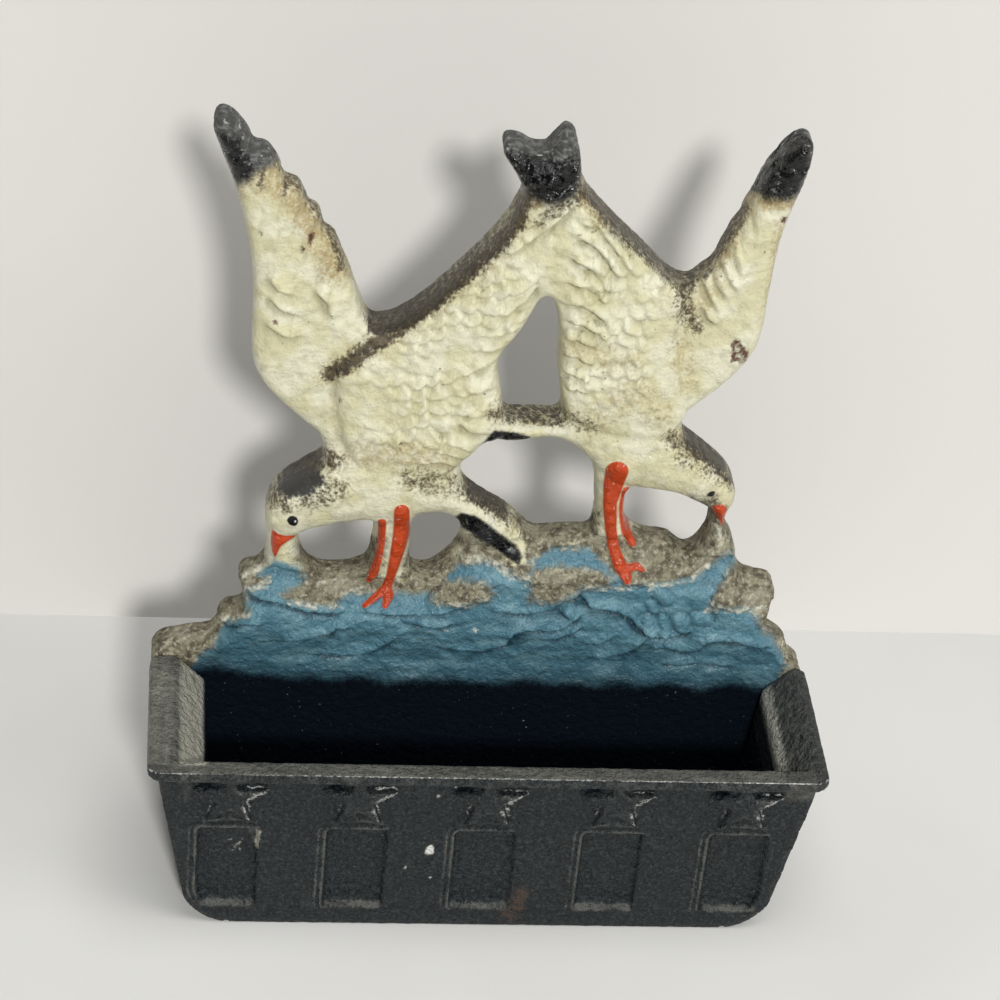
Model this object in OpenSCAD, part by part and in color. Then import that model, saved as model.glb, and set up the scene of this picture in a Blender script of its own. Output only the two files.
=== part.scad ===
// Cast iron match holder: a trough with stars and panels, bolted to an openwork back plate
// that shows two gulls standing head down over a choppy sea.
// Origin at the middle of the base, front towards -Y, millimetres.

/* [Trough] */
// Width over the rim
rim_w = 132; // [110:1:160]
// Height of the rim above the base
trough_h = 42; // [34:1:52]
// Depth from the rim's front edge to the back plate
trough_d = 39; // [32:1:50]
// Thickness of the front wall
front_t = 2.6; // [2.2:0.1:4]
// Thickness of the end walls at the floor
end_t = 4; // [3:0.5:6]
// Thickness of the trough's own back wall
back_t = 2.5; // [2:0.5:4]
// Thickness of the floor
floor_t = 3.5; // [2.5:0.5:5]
// Height of the trough's own back wall above the nuts
back_over = 1.5; // [1:0.5:8]
// How far the base is set back from the front face's top
front_lean = 4.5; // [2:0.5:8]
// How far each end is set in at the base
end_lean = 7; // [4:0.5:10]
// Radius of the lower outer corners
corner_r = 10; // [6:0.5:14]
// Radius of the lower corners inside
inner_corner_r = 6; // [3:0.5:8]

/* [Rim] */
// How far the rim stands out past the front and the ends
lip_out = 2; // [1:0.1:3]
// Height of the rim's edge
lip_h = 2.6; // [2:0.1:4]
// Width of the flat rim at the left end, which is the heavier one
left_lip = 5.5; // [3:0.5:7]
// Width of the flat rim at the right end
right_lip = 2.5; // [2:0.5:6]
// Radius of the rim's corners in plan
lip_r = 3; // [1.5:0.5:4]
// Width of the sloping flare inside each end
flare_w = 5.8; // [3:0.2:7]
// Height of the sloping flare inside each end
flare_h = 5.5; // [4:0.5:12]

/* [Stars and panels] */
// Number of stars, each over a panel
motifs = 5; // [3:1:5]
// Distance from the outer panels to the ends of the trough's foot
motif_margin = 1; // [0.5:0.5:6]
// Radius of a star's points
star_r = 7; // [5:0.1:8]
// Radius of a star's inner corners
star_waist_r = 2.9; // [2:0.1:3.4]
// How far the stars stand out of the front
star_relief = 1.2; // [0.4:0.1:1.5]
// Height of the stars' centres below the rim
star_drop = 7.5; // [6:0.5:9]
// Width of a panel
panel_w = 12; // [9:0.5:14]
// Gap between a panel and the feet of its star
star_gap = 2.3; // [1:0.1:4]
// Height of the panels' foot along the front
panel_foot = 5; // [3:0.5:8]
// Depth of the panels
panel_depth = 0.9; // [0.4:0.1:1.2]
// Width of the slopes at a panel's sides and top
panel_slope = 0.8; // [0.3:0.1:1.2]
// Height of the sloping ledge at a panel's foot
panel_ledge = 2; // [1:0.1:3]
// Corner radius of the panels
panel_r = 1; // [0.5:0.1:2]
// Lower outer corner radius of the two end panels
end_panel_r = 5; // [2:0.5:6]

/* [Back plate] */
// Thickness of the plate behind the trough
plate_t = 7; // [5:0.5:10]
// Height of the wing tips above the rim
rise = 119; // [90:1:150]
// Thickness of the plate at the edges of the gulls
edge_t = 6; // [4:0.5:9]
// How far the gulls' bodies swell out of their edges
body_relief = 4; // [2:0.5:5]
// How far the wings swell out of their edges
wing_relief = 2.5; // [1:0.5:4]
// How far the legs and beaks stand out
leg_relief = 1.6; // [0.8:0.1:2.5]
// Thickness of the sea along its crests
crest_t = 5; // [3:0.5:8]
// Thickness of the sea on its face
sea_t = 9.5; // [7.5:0.5:12]
// Height over which the sea swells from its crests to its face
swell_h = 8; // [4:0.5:12]

/* [Fixings] */
// Diameter of the two bolts
bolt_d = 4.8; // [3:0.1:6]
// Diameter of the bolts' countersunk heads
head_d = 9; // [8:0.1:11]
// Height of the bolts' conical heads
head_h = 2.6; // [1.5:0.1:3]
// Width of the bolts' slots
slot_w = 1.2; // [0.8:0.1:1.6]
// Depth of the bolts' slots
slot_depth = 1.2; // [0.6:0.1:1.4]
// Distance from the bolts to the trough's inner ends at the floor
bolt_inset = 13; // [11:0.5:25]
// Height of the bolts above the base
bolt_z = 10; // [9.5:0.5:16]
// Width of the square nuts across the flats
nut_w = 8; // [7:0.5:10]
// Thickness of the nuts
nut_t = 3.2; // [2:0.1:5]
// Length of bolt past the nut
bolt_end = 1.5; // [0.5:0.5:3]
// Clearance round the bolts
clearance = 0.2; // [0.1:0.05:0.4]

/* [Hidden] */
$fn = 64;
eps = 0.01;
over_cut = 1;
relief_margin = 3;
arc_steps = 8;
curve_steps = 3;
relief_cols = 44;
relief_rows = 40;
drawn_w = 132;
drawn_rise = 119;
depth = trough_d + plate_t;
front_y = -depth / 2;
back_y = depth / 2;
plate_y = back_y - plate_t;
neck_z = trough_h - lip_h;
neck_y = front_y + lip_out;
join_z = neck_z + lip_h / 2;
lean = atan(front_lean / neck_z);
neck_half = rim_w / 2 - lip_out;
foot_half = neck_half - end_lean;
floor_half = foot_half - end_t;
bolt_x = floor_half - bolt_inset;
star_z = trough_h - star_drop;
panel_h = star_z - star_r * cos(36) - star_gap - panel_foot;
motif_pitch = (2 * (foot_half - motif_margin) - panel_w) / (motifs - 1);
wall_y = plate_y - back_t;
wall_top = bolt_z + nut_w / 2 + back_over;
hole_d = bolt_d + 2 * clearance;

function unit(v) = v / norm(v);

// Closed outline through corners [x, y, radius], each rounded by an arc.
function rounded(corners) = [
    for (i = [0 : len(corners) - 1])
        let (
            n = len(corners),
            p = [corners[i][0], corners[i][1]],
            before = corners[(i + n - 1) % n],
            after = corners[(i + 1) % n],
            u = unit([before[0], before[1]] - p),
            v = unit([after[0], after[1]] - p),
            half = acos(u * v) / 2,
            r = corners[i][2],
            centre = p + unit(u + v) * r / sin(half),
            a0 = p + u * r / tan(half) - centre,
            start = atan2(a0[1], a0[0]),
            side = (u[0] * v[1] - u[1] * v[0]) > 0 ? -1 : 1,
            sweep = side * (180 - 2 * half)
        )
        each r == 0 ? [p] : [
            for (k = [0 : arc_steps])
                centre + r * [cos(start + sweep * k / arc_steps), sin(start + sweep * k / arc_steps)]
        ]
];

// Curve that passes through every point; an open one ends at its first and last points.
function through(points, closed = true) =
    let (
        n = len(points),
        pick = function (i) closed ? points[(i + n) % n] : points[min(max(i, 0), n - 1)]
    )
    [
        for (i = [0 : closed ? n - 1 : n - 2])
            let (
                a = pick(i - 1),
                b = pick(i),
                c = pick(i + 1),
                d = pick(i + 2)
            )
            for (k = [0 : curve_steps - 1])
                let (t = k / curve_steps)
                b + (c - a) * t / 2 + (2 * a - 5 * b + 4 * c - d) * t * t / 2
                    + (3 * b - a - 3 * c + d) * t * t * t / 2,
        if (!closed) points[n - 1]
    ];

// Place on the plate of a point drawn at [x, height above the rim].
function placed(p) = [p[0] * rim_w / drawn_w, trough_h + p[1] * rise / drawn_rise];
function drawing(points) = [for (p = points) placed(p)];

// Outline of a strip along a line of [x, height above the rim, half width].
function strip(line) =
    let (
        last = len(line) - 1,
        side = [for (i = [0 : last])
            let (
                a = line[max(i - 1, 0)],
                b = line[min(i + 1, last)],
                run = unit([b[0] - a[0], b[1] - a[1]])
            )
            [-run[1], run[0]] * line[i][2]
        ]
    )
    concat(
        [for (i = [0 : last]) placed([line[i][0], line[i][1]] + side[i])],
        [for (i = [last : -1 : 0]) placed([line[i][0], line[i][1]] - side[i])]
    );

// Outer outline of the sea and the gulls, from the left shoulder to the right.
sea_left = [
    [-60, -7], [-64, -5], [-65.6, -2.4], [-65, 0.2], [-63, 1.8], [-59, 2.8], [-54.6, 3.6], [-53, 5],
    [-52.6, 7.6], [-51, 9.5], [-48.6, 10.2], [-47.6, 11.6], [-48, 14.5], [-48.9, 17.2],
    [-47.3, 19.3], [-45, 20]
];
left_head = [
    [-43.6, 23], [-43.7, 28], [-44.2, 32], [-43.8, 35.4], [-42, 38.8], [-39.4, 41.4],
    [-36.4, 43.6], [-34, 45.4], [-33.4, 47.8]
];
left_outer_wing = [
    [-34.8, 51.6], [-38.5, 55], [-43.2, 59.5], [-46.7, 64.2], [-48.1, 69.5], [-48.2, 77],
    [-48.5, 86], [-49.9, 95], [-52.3, 104], [-55.3, 112], [-56.7, 116.4], [-55.6, 119],
    [-53, 118.2], [-50.4, 115], [-49.2, 112.6], [-46.6, 111.8], [-44.4, 108.6], [-43.4, 105.8],
    [-40.8, 104.6], [-39.2, 101.8], [-38.4, 100.2], [-36.6, 99], [-35.4, 95.4], [-33.4, 93.8],
    [-31.8, 89.8], [-30.2, 86.4], [-28.4, 81.4], [-26.8, 77.6], [-24.4, 76.2]
];
joined_wings = [
    [-20, 77.9], [-15, 82.2], [-10, 87.8], [-5, 93.8], [-1, 100], [0.8, 105.6], [-1, 109.8],
    [-3.5, 113.8], [-2.8, 115.6], [-0.4, 115.4], [2, 114.2], [4.6, 114.2], [6.4, 116.4],
    [8, 118], [9.9, 116.6], [10.8, 113], [11.4, 109], [12.8, 105.8], [15, 103.2],
    [19, 99], [23, 95.2], [27, 91.2], [29.2, 89], [31.6, 87.4], [34, 87]
];
right_outer_wing = [
    [35.8, 88.8], [37.6, 90.2], [38.6, 92.2], [39.6, 94.8], [40.6, 97.6], [42.2, 100.6],
    [43.2, 103.6], [44.6, 106.8], [45.6, 110], [47.4, 113.2], [49.4, 116.2], [51.6, 118],
    [53.6, 117.4], [54.2, 114.6], [53.2, 109], [51.4, 102.8], [50.2, 97], [49.6, 90.5],
    [49.2, 83.5], [48.9, 77], [47.9, 72.8], [45.4, 68.4], [41.6, 63.8], [37.8, 60.2], [35.6, 57.4]
];
right_head = [
    [35.8, 53.6], [39, 50.8], [42.6, 47.8], [45.4, 45], [47.2, 41.8], [47.6, 39.2], [46.8, 36.6],
    [46.3, 34], [46.8, 31.4], [48.3, 28.8], [49.2, 26]
];
sea_right = [
    [49.6, 23.2], [51.2, 20.6], [54, 19.6], [56.8, 18.8], [58.2, 16.6], [58, 14], [56.6, 11.2],
    [56, 9], [58, 7.2], [60.6, 5.4], [62.2, 3.2], [62.4, 1.2], [64, 0], [65.4, -1.8], [65.4, -4.2],
    [63.6, -6], [60, -7]
];

// Openings through the plate.
wing_arch = [
    [7, 84.4], [8.4, 82.8], [9.1, 80.4], [9.9, 77], [10.2, 72], [10.5, 67], [11.3, 62.4],
    [11.9, 58.4], [10.6, 56.4], [6, 56.4], [1.6, 56.4], [0.4, 58.6], [-0.2, 62.4], [-1.1, 66.6],
    [-1.4, 69.8], [-0.4, 72.4], [2.2, 76.4], [4.2, 80.4], [5.6, 83.6]
];
tail_gap = [
    [-2.2, 51.4], [-4.4, 49], [-6.3, 46.6], [-6.7, 44], [-6, 40.8], [-4, 38.6], [-0.8, 36.4],
    [3, 34], [6.4, 30.8], [9, 28.8], [12.8, 29.2], [17, 29.4], [19.8, 30], [20.4, 33], [20.2, 38],
    [19.6, 43], [18.2, 47.2], [15.4, 50.4], [12, 52.2], [8.6, 52.4], [5.4, 51.6], [1.5, 51.1]
];
left_beak_gap = [
    [-37.6, 28], [-37.3, 24.8], [-36, 21.4], [-33.4, 19.4], [-30, 19], [-26, 19.8], [-23.7, 21.4],
    [-23, 25], [-22.8, 30], [-23.8, 32.3], [-27, 32.2], [-31, 31.4], [-35, 29.9]
];
left_leg_gap = [
    [-15.4, 31.4], [-14.4, 34], [-12.4, 34.6], [-9.6, 34.6], [-7, 33.2], [-5.8, 30.4], [-5.6, 26.8],
    [-7.4, 23.4], [-9.8, 20.8], [-12, 19.5], [-14.6, 20], [-15.5, 23.4]
];
right_beak_gap = [
    [26, 37], [26.3, 40.2], [27.8, 41.4], [31, 41.4], [35, 41], [38.6, 39.5], [42, 37.6], [43.3, 35.4],
    [43.2, 31.4], [41.8, 27.8], [39.3, 25.8], [37.2, 26.9], [35.2, 28.4], [31, 29], [28, 30.2],
    [26.4, 33]
];

// Swells of the gulls: lines of [x, height above the rim, reach, share of the swell].
bodies = [
    [[-39.5, 36, 7, 0.8], [-31, 40, 9, 1], [-20, 41.5, 9, 0.9], [-9, 38, 6, 0.5], [3, 28, 4, 0.2]],
    [[42.5, 42, 6.5, 0.8], [33, 49, 9, 1], [23, 52, 7, 0.8], [12, 53.5, 4, 0.3], [1, 53.6, 3, 0.1]]
];
wings = [
    [[-38, 58, 8, 0.4], [-41, 70, 9, 0.8], [-42.5, 84, 7.5, 0.7], [-47, 98, 6, 0.5], [-53, 112, 4, 0.2]],
    [[-24, 56, 12, 1.3], [-15, 66, 14, 1.2], [-4, 83, 11, 0.9], [3, 99, 7, 0.6], [4, 110, 6, 0.2]],
    [[39, 64, 8, 0.7], [42, 78, 8, 0.8], [46, 96, 6, 0.5], [50.5, 110, 4, 0.2]],
    [[25, 61, 12, 1.3], [20, 78, 11, 1.1], [14, 93, 8, 0.7], [8, 106, 5, 0.3]]
];

// Legs and beaks as lines of [x, height above the rim, half width].
legs = [
    [[-17.7, 36, 1.5], [-17.5, 30, 1.6], [-18, 25, 1.3], [-18.9, 19.5, 1], [-20, 15.5, 1]],
    [[-21.3, 32.5, 0.8], [-21.3, 28, 0.9], [-21.9, 23, 0.9], [-23, 18.5, 1]],
    [[23.7, 47, 2.2], [22.9, 42, 1.9], [23.2, 36, 1.3], [24.2, 30, 1.1], [26, 24, 1.1]],
    [[26.2, 41, 0.6], [25.7, 36, 0.7], [26.5, 32, 0.7], [28.3, 28.5, 0.8]]
];
feet = [
    [[-20, 16.5, 0.9], [-23.6, 12.4, 0.6]],
    [[-20, 16.5, 1], [-19.6, 12.2, 0.7]],
    [[25.7, 25, 1.1], [28.3, 20, 1.1]],
    [[26.8, 22.6, 0.8], [30.8, 22.8, 0.6]]
];
beaks = [
    [[-40.4, 29.2, 2.2], [-41.6, 27.4, 1.1], [-41.9, 23.8, 0.3]],
    [[44.6, 38, 1.5], [45.2, 35.6, 1.1], [45.5, 33.6, 0.4]]
];

// Share of the way from a to b at which a point lies nearest.
function along(p, a, b) =
    let (run = b - a)
    min(max((p - a) * run / (run * run), 0), 1);

// Swell of one line at a point: a rounded crown that fades at its reach.
function crown(p, line) = max([
    for (i = [0 : len(line) - 2])
        let (
            a = placed(line[i]),
            b = placed(line[i + 1]),
            t = along(p, a, b),
            reach = line[i][2] + (line[i + 1][2] - line[i][2]) * t,
            share = line[i][3] + (line[i + 1][3] - line[i][3]) * t,
            away = norm(p - a - (b - a) * t) / reach
        )
        away < 1 ? share * sqrt(1 - away * away) : 0
]);

// Height of the sea's crest at x, read off the crest line.
crest_line = [
    [-66, -2], [-60, 2.5], [-53, 5], [-50, 10], [-48, 18], [-42, 21], [-36, 19.5], [-28, 18.5],
    [-20, 19], [-12, 19], [-4, 27], [6, 29], [14, 29.2], [26, 30], [36, 27.5], [40, 25.5], [48, 26],
    [52, 20], [57, 18], [60, 6], [66, -3]
];
function crest(x) = lookup(x * drawn_w / rim_w, crest_line) * rise / drawn_rise + trough_h;

// Thickness of the sea: it swells down from its crests and up from the rim.
function sea(p) =
    let (
        down = (crest(p[0]) - p[1]) / swell_h,
        up = (p[1] - trough_h) / swell_h
    )
    min(
        crest_t + (sea_t - crest_t) * min(max(down, 0), 1),
        plate_t + (sea_t - plate_t) * min(up, 1)
    );
function peak(lines) = max([for (line = lines) for (p = line) p[3]]);

// Thickness of the plate at a point, flat where the trough bears on it.
function thickness(p) =
    p[1] <= trough_h ? plate_t
    : p[1] < crest(p[0]) ? sea(p)
    : edge_t + max(
        body_relief * max([for (line = bodies) crown(p, line)]),
        wing_relief * max([for (line = wings) crown(p, line)])
    );

// Turns a drawing in X and Z into a slab from y0 to y1.
module slab(y0, y1) {
    translate([0, y1, 0])
        rotate([90, 0, 0])
            linear_extrude(y1 - y0)
                children();
}

// Places a drawing on the leaning front face, with its foot at the base.
module on_front() {
    translate([0, neck_y + front_lean, 0])
        rotate([90 + lean, 0, 0])
            children();
}

// End view of the trough's outside, which the foot of the plate follows.
module end_outline() {
    polygon(rounded([
        [-foot_half, 0, corner_r],
        [foot_half, 0, corner_r],
        [neck_half, neck_z, 0],
        [neck_half, join_z, 0],
        [-neck_half, join_z, 0],
        [-neck_half, neck_z, 0]
    ]));
}

module plate_outline() {
    difference() {
        union() {
            end_outline();
            polygon(through(drawing(concat(
                sea_left, left_head, left_outer_wing, joined_wings,
                right_outer_wing, right_head, sea_right
            )), closed = false));
        }
        for (gap = [wing_arch, tail_gap, left_beak_gap, left_leg_gap, right_beak_gap])
            polygon(through(drawing(gap)));
    }
}

// Block whose front is the relief of the sea and the gulls.
module relief() {
    xs = [for (i = [0 : relief_cols]) (rim_w + 2 * relief_margin) * (i / relief_cols - 1 / 2)];
    zs = concat(
        [-relief_margin],
        [for (k = [0 : relief_rows]) trough_h + (rise + relief_margin) * k / relief_rows]
    );
    nx = len(xs);
    nz = len(zs);
    front = [for (z = zs) for (x = xs) [x, back_y - thickness([x, z]), z]];
    corners = [for (z = [zs[0], zs[nz - 1]]) for (x = [xs[0], xs[nx - 1]]) [x, back_y, z]];
    c = nx * nz;
    top = (nz - 1) * nx;
    skin = [
        for (k = [0 : nz - 2])
            for (i = [0 : nx - 2])
                let (p = k * nx + i)
                each [[p, p + nx, p + nx + 1], [p, p + nx + 1, p + 1]]
    ];
    sides = [
        [c, c + 1, c + 3, c + 2],
        concat([c + 1, c], [for (i = [0 : nx - 1]) i]),
        concat([c + 2, c + 3], [for (i = [nx - 1 : -1 : 0]) top + i]),
        concat([c, c + 2], [for (k = [nz - 1 : -1 : 0]) k * nx]),
        concat([c + 3, c + 1], [for (k = [0 : nz - 1]) k * nx + nx - 1])
    ];
    polyhedron(concat(front, corners), concat(skin, sides), convexity = 10);
}

module at_bolts() {
    for (x = [-bolt_x, bolt_x])
        translate([x, back_y, bolt_z])
            rotate([90, 0, 0])
                children();
}

module back_plate() {
    swell = max(body_relief * peak(bodies), wing_relief * peak(wings));
    deepest = max(plate_t, sea_t, edge_t + swell);
    difference() {
        union() {
            color("ivory")
                intersection() {
                    slab(back_y - deepest - over_cut, back_y)
                        plate_outline();
                    relief();
                }
            color("orangered")
                for (line = concat(legs, beaks))
                    slab(back_y - edge_t - leg_relief, back_y - crest_t / 2)
                        polygon(strip(line));
            color("orangered")
                for (line = feet)
                    slab(back_y - sea_t - leg_relief / 2, back_y - crest_t / 2)
                        polygon(strip(line));
        }
        at_bolts() {
            translate([0, 0, -eps])
                cylinder(d = hole_d, h = plate_t + 2 * eps);
            translate([0, 0, -eps])
                cylinder(d1 = head_d + 2 * clearance, d2 = hole_d, h = head_h + eps);
        }
    }
}

// Outside of the trough: its body runs up into the rim, which caps it.
module trough_outside() {
    intersection() {
        slab(front_y, plate_y)
            end_outline();
        rotate([90, 0, 90])
            translate([0, 0, -rim_w / 2])
                linear_extrude(rim_w)
                    polygon([
                        [neck_y + front_lean, 0],
                        [plate_y, 0],
                        [plate_y, join_z],
                        [neck_y, join_z],
                        [neck_y, neck_z]
                    ]);
    }
    translate([0, 0, neck_z])
        linear_extrude(lip_h)
            polygon(rounded([
                [-rim_w / 2, front_y, lip_r],
                [rim_w / 2, front_y, lip_r],
                [rim_w / 2, plate_y, lip_r],
                [-rim_w / 2, plate_y, lip_r]
            ]));
}

// Space inside the trough, with its flared ends.
module trough_inside() {
    left = -rim_w / 2 + left_lip;
    right = rim_w / 2 - right_lip;
    bend_z = trough_h - flare_h;
    run = front_lean / neck_z;
    over = trough_h + over_cut;
    intersection() {
        slab(front_y, plate_y + over_cut)
            polygon(rounded([
                [-floor_half, floor_t, inner_corner_r],
                [floor_half, floor_t, inner_corner_r],
                [right - flare_w, bend_z, 0],
                [right, trough_h, 0],
                [right, over, 0],
                [left, over, 0],
                [left, trough_h, 0],
                [left + flare_w, bend_z, 0]
            ]));
        rotate([90, 0, 90])
            translate([0, 0, -rim_w / 2])
                linear_extrude(rim_w)
                    polygon([
                        [neck_y + front_t + run * (neck_z - floor_t), floor_t],
                        [wall_y, floor_t],
                        [wall_y, wall_top],
                        [plate_y + over_cut, wall_top],
                        [plate_y + over_cut, over],
                        [neck_y + front_t + run * (neck_z - over), over]
                    ]);
    }
}

module star() {
    polygon([
        for (i = [0 : 9])
            let (r = i % 2 == 0 ? star_r : star_waist_r)
            r * [sin(36 * i), cos(36 * i)]
    ]);
}

// Outline of a panel with its foot at the origin, set in from its sides and top and from its foot.
module panel_outline(left_r, right_r, set_in, ledge) {
    half = panel_w / 2 - set_in;
    top_r = max(panel_r - set_in, panel_r / 2);
    polygon(rounded([
        [-half, ledge, max(left_r - set_in, panel_r / 2)],
        [half, ledge, max(right_r - set_in, panel_r / 2)],
        [half, panel_h - set_in, top_r],
        [-half, panel_h - set_in, top_r]
    ]));
}

// Cutter of a panel, which narrows to its floor; an end panel's lower outer corner is rounder.
module panel(left_r, right_r) {
    hull() {
        translate([0, 0, -panel_depth])
            linear_extrude(eps)
                panel_outline(left_r, right_r, panel_slope, panel_ledge);
        linear_extrude(over_cut)
            panel_outline(left_r, right_r, 0, 0);
    }
}

module trough() {
    middle = (motifs - 1) / 2;
    color("#2d3033")
        difference() {
            union() {
                trough_outside();
                intersection() {
                    on_front()
                        for (i = [0 : motifs - 1])
                            translate([(i - middle) * motif_pitch, star_z / cos(lean), -front_t / 2])
                                linear_extrude(front_t / 2 + star_relief)
                                    star();
                    translate([-rim_w / 2, front_y, 0])
                        cube([rim_w, depth, join_z]);
                }
            }
            trough_inside();
            on_front()
                for (i = [0 : motifs - 1])
                    translate([(i - middle) * motif_pitch, panel_foot, 0])
                        panel(
                            i == 0 ? end_panel_r : panel_r,
                            i == motifs - 1 ? end_panel_r : panel_r
                        );
            at_bolts()
                cylinder(d = hole_d, h = plate_t + back_t + eps);
        }
}

module bolts() {
    length = plate_t + back_t + nut_t + bolt_end;
    color("dimgray")
        at_bolts()
            difference() {
                union() {
                    cylinder(d = bolt_d, h = length);
                    cylinder(d1 = head_d, d2 = bolt_d, h = head_h);
                }
                translate([-head_d, -slot_w / 2, -eps])
                    cube([2 * head_d, slot_w, slot_depth + eps]);
            }
}

module nuts() {
    color("dimgray")
        at_bolts()
            translate([0, 0, plate_t + back_t])
                difference() {
                    translate([-nut_w / 2, -nut_w / 2, 0])
                        cube([nut_w, nut_w, nut_t]);
                    translate([0, 0, -eps])
                        cylinder(d = hole_d, h = nut_t + 2 * eps);
                }
}

back_plate();
trough();
bolts();
nuts();
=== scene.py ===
"""Looks of a cast iron match holder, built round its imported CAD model.

Drawings are in millimetres. The painted and carved lines on the plate are drawn as they are seen
from the front and above, on the plane of the plate's face.
"""

import logging
from contextlib import contextmanager
from dataclasses import dataclass
from enum import Enum
from typing import Iterator, Sequence

import bmesh
import bpy
import numpy as np
from bpy.types import Light, Material, Mesh, Node, Object
from bpy.types import NodeSocket as Socket
from mathutils import Matrix, Vector


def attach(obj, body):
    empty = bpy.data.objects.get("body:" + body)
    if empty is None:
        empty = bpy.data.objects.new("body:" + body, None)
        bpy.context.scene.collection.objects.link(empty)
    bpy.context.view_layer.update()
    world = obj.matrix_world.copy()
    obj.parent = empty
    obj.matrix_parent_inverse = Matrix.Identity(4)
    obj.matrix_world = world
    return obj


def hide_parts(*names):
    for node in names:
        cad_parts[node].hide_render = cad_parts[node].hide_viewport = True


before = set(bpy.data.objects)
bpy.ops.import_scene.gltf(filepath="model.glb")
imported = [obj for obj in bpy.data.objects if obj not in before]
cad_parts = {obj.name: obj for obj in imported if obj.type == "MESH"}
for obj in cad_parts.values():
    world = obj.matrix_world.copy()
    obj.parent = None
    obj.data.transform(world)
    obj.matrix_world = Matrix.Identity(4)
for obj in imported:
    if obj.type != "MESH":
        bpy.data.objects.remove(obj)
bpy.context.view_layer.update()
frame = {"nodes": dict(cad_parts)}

MM = 0.001
BODY = "root"
LOG = logging.getLogger("match_holder")

Array = np.ndarray
Points = Sequence[tuple[float, ...]]
Colour = Socket | str
Input = Colour | float | Sequence[float]


class Slot(Enum):
    """Names of material slots."""

    PLATE = "painted_plate"
    TROUGH = "black_trough"
    FIXINGS = "fixings"


class Cut(Enum):
    """Ways in which a line is worked on the plate."""

    SCORE = "even groove"
    WAVE = "groove under a raised lip"
    FINGER = "rounded ridge in a shallow moat"


# Drawing tools


def soft_step(values: Array, low: float, high: float) -> Array:
    """Smooth rise from 0 at low to 1 at high."""
    t = np.clip((values - low) / (high - low), 0.0, 1.0)
    return t * t * (3.0 - 2.0 * t)


def dome(depth: Array, radius: float) -> Array:
    """Quarter-round rise from 0 at the edge to 1 at a depth of one radius."""
    t = 1.0 - np.clip(depth / radius, 0.0, 1.0)
    return np.sqrt(1.0 - t * t)


def bell(off: Array, width: float) -> Array:
    """Bell curve that is 1 in its middle."""
    return np.exp(-((off / width) ** 2))


def smooth_max(a: Array, b: Array, blend: float) -> Array:
    """Higher of two surfaces, with a fillet of about the blend between them."""
    t = np.clip(0.5 + 0.5 * (a - b) / blend, 0.0, 1.0)
    return b + (a - b) * t + blend * t * (1.0 - t)


def line_distance(x: Array, z: Array, points: Points) -> tuple[Array, Array]:
    """Distance of places from a line.

    Args:
        x: Places across the plate.
        z: Places up the plate.
        points: Corners of the line.

    Returns:
        The distance of each place, and the number of corners passed at its nearest point.
    """
    corners = np.asarray([p[:2] for p in points], float)
    away = np.full(x.shape, np.inf)
    passed = np.zeros(x.shape)
    for i, (a, b) in enumerate(zip(corners[:-1], corners[1:])):
        run = b - a
        t = np.clip(((x - a[0]) * run[0] + (z - a[1]) * run[1]) / (run @ run), 0.0, 1.0)
        here = np.hypot(x - a[0] - t * run[0], z - a[1] - t * run[1])
        nearer = here < away
        away = np.where(nearer, here, away)
        passed = np.where(nearer, i + t, passed)
    return away, passed


def line_side(x: Array, z: Array, points: Points, passed: Array) -> Array:
    """Side of a line that places lie on.

    Args:
        x: Places across the plate.
        z: Places up the plate.
        points: Corners of the line.
        passed: Number of corners passed at the point nearest each place.

    Returns:
        1 to the left of the line's run, which is above one drawn to the right, and -1 to its right.
    """
    corners = np.asarray([p[:2] for p in points], float)
    at = np.clip(passed.astype(int), 0, len(corners) - 2)
    start, run = corners[at], corners[at + 1] - corners[at]
    return np.sign(run[:, 0] * (z - start[:, 1]) - run[:, 1] * (x - start[:, 0]))


def patch_distance(x: Array, z: Array, points: Points) -> Array:
    """Distance of places from the edge of a patch, below 0 inside it.

    Args:
        x: Places across the plate.
        z: Places up the plate.
        points: Corners of the patch.

    Returns:
        The signed distance of each place.
    """
    ring = list(points) + [points[0]]
    away, _ = line_distance(x, z, ring)
    inside = np.zeros(x.shape, bool)
    for (ax, az), (bx, bz) in zip(ring[:-1], ring[1:]):
        spans = (az > z) != (bz > z)
        if az != bz:
            inside ^= spans & (x < ax + (z - az) * (bx - ax) / (bz - az))
    return np.where(inside, -away, away)


def nearest_patch(x: Array, z: Array, patches: Sequence[Points]) -> Array:
    """Distance of places from the edge of the nearest of some patches, below 0 inside it."""
    return np.minimum.reduce([patch_distance(x, z, patch) for patch in patches])


def strip_distance(x: Array, z: Array, points: Points) -> Array:
    """Distance of places from the edge of a strip, below 0 inside it.

    Args:
        x: Places across the plate.
        z: Places up the plate.
        points: Corners of the strip's middle line, each with the half width there.

    Returns:
        The signed distance of each place.
    """
    away, passed = line_distance(x, z, points)
    return away - np.interp(passed, np.arange(len(points)), [p[2] for p in points])


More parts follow.
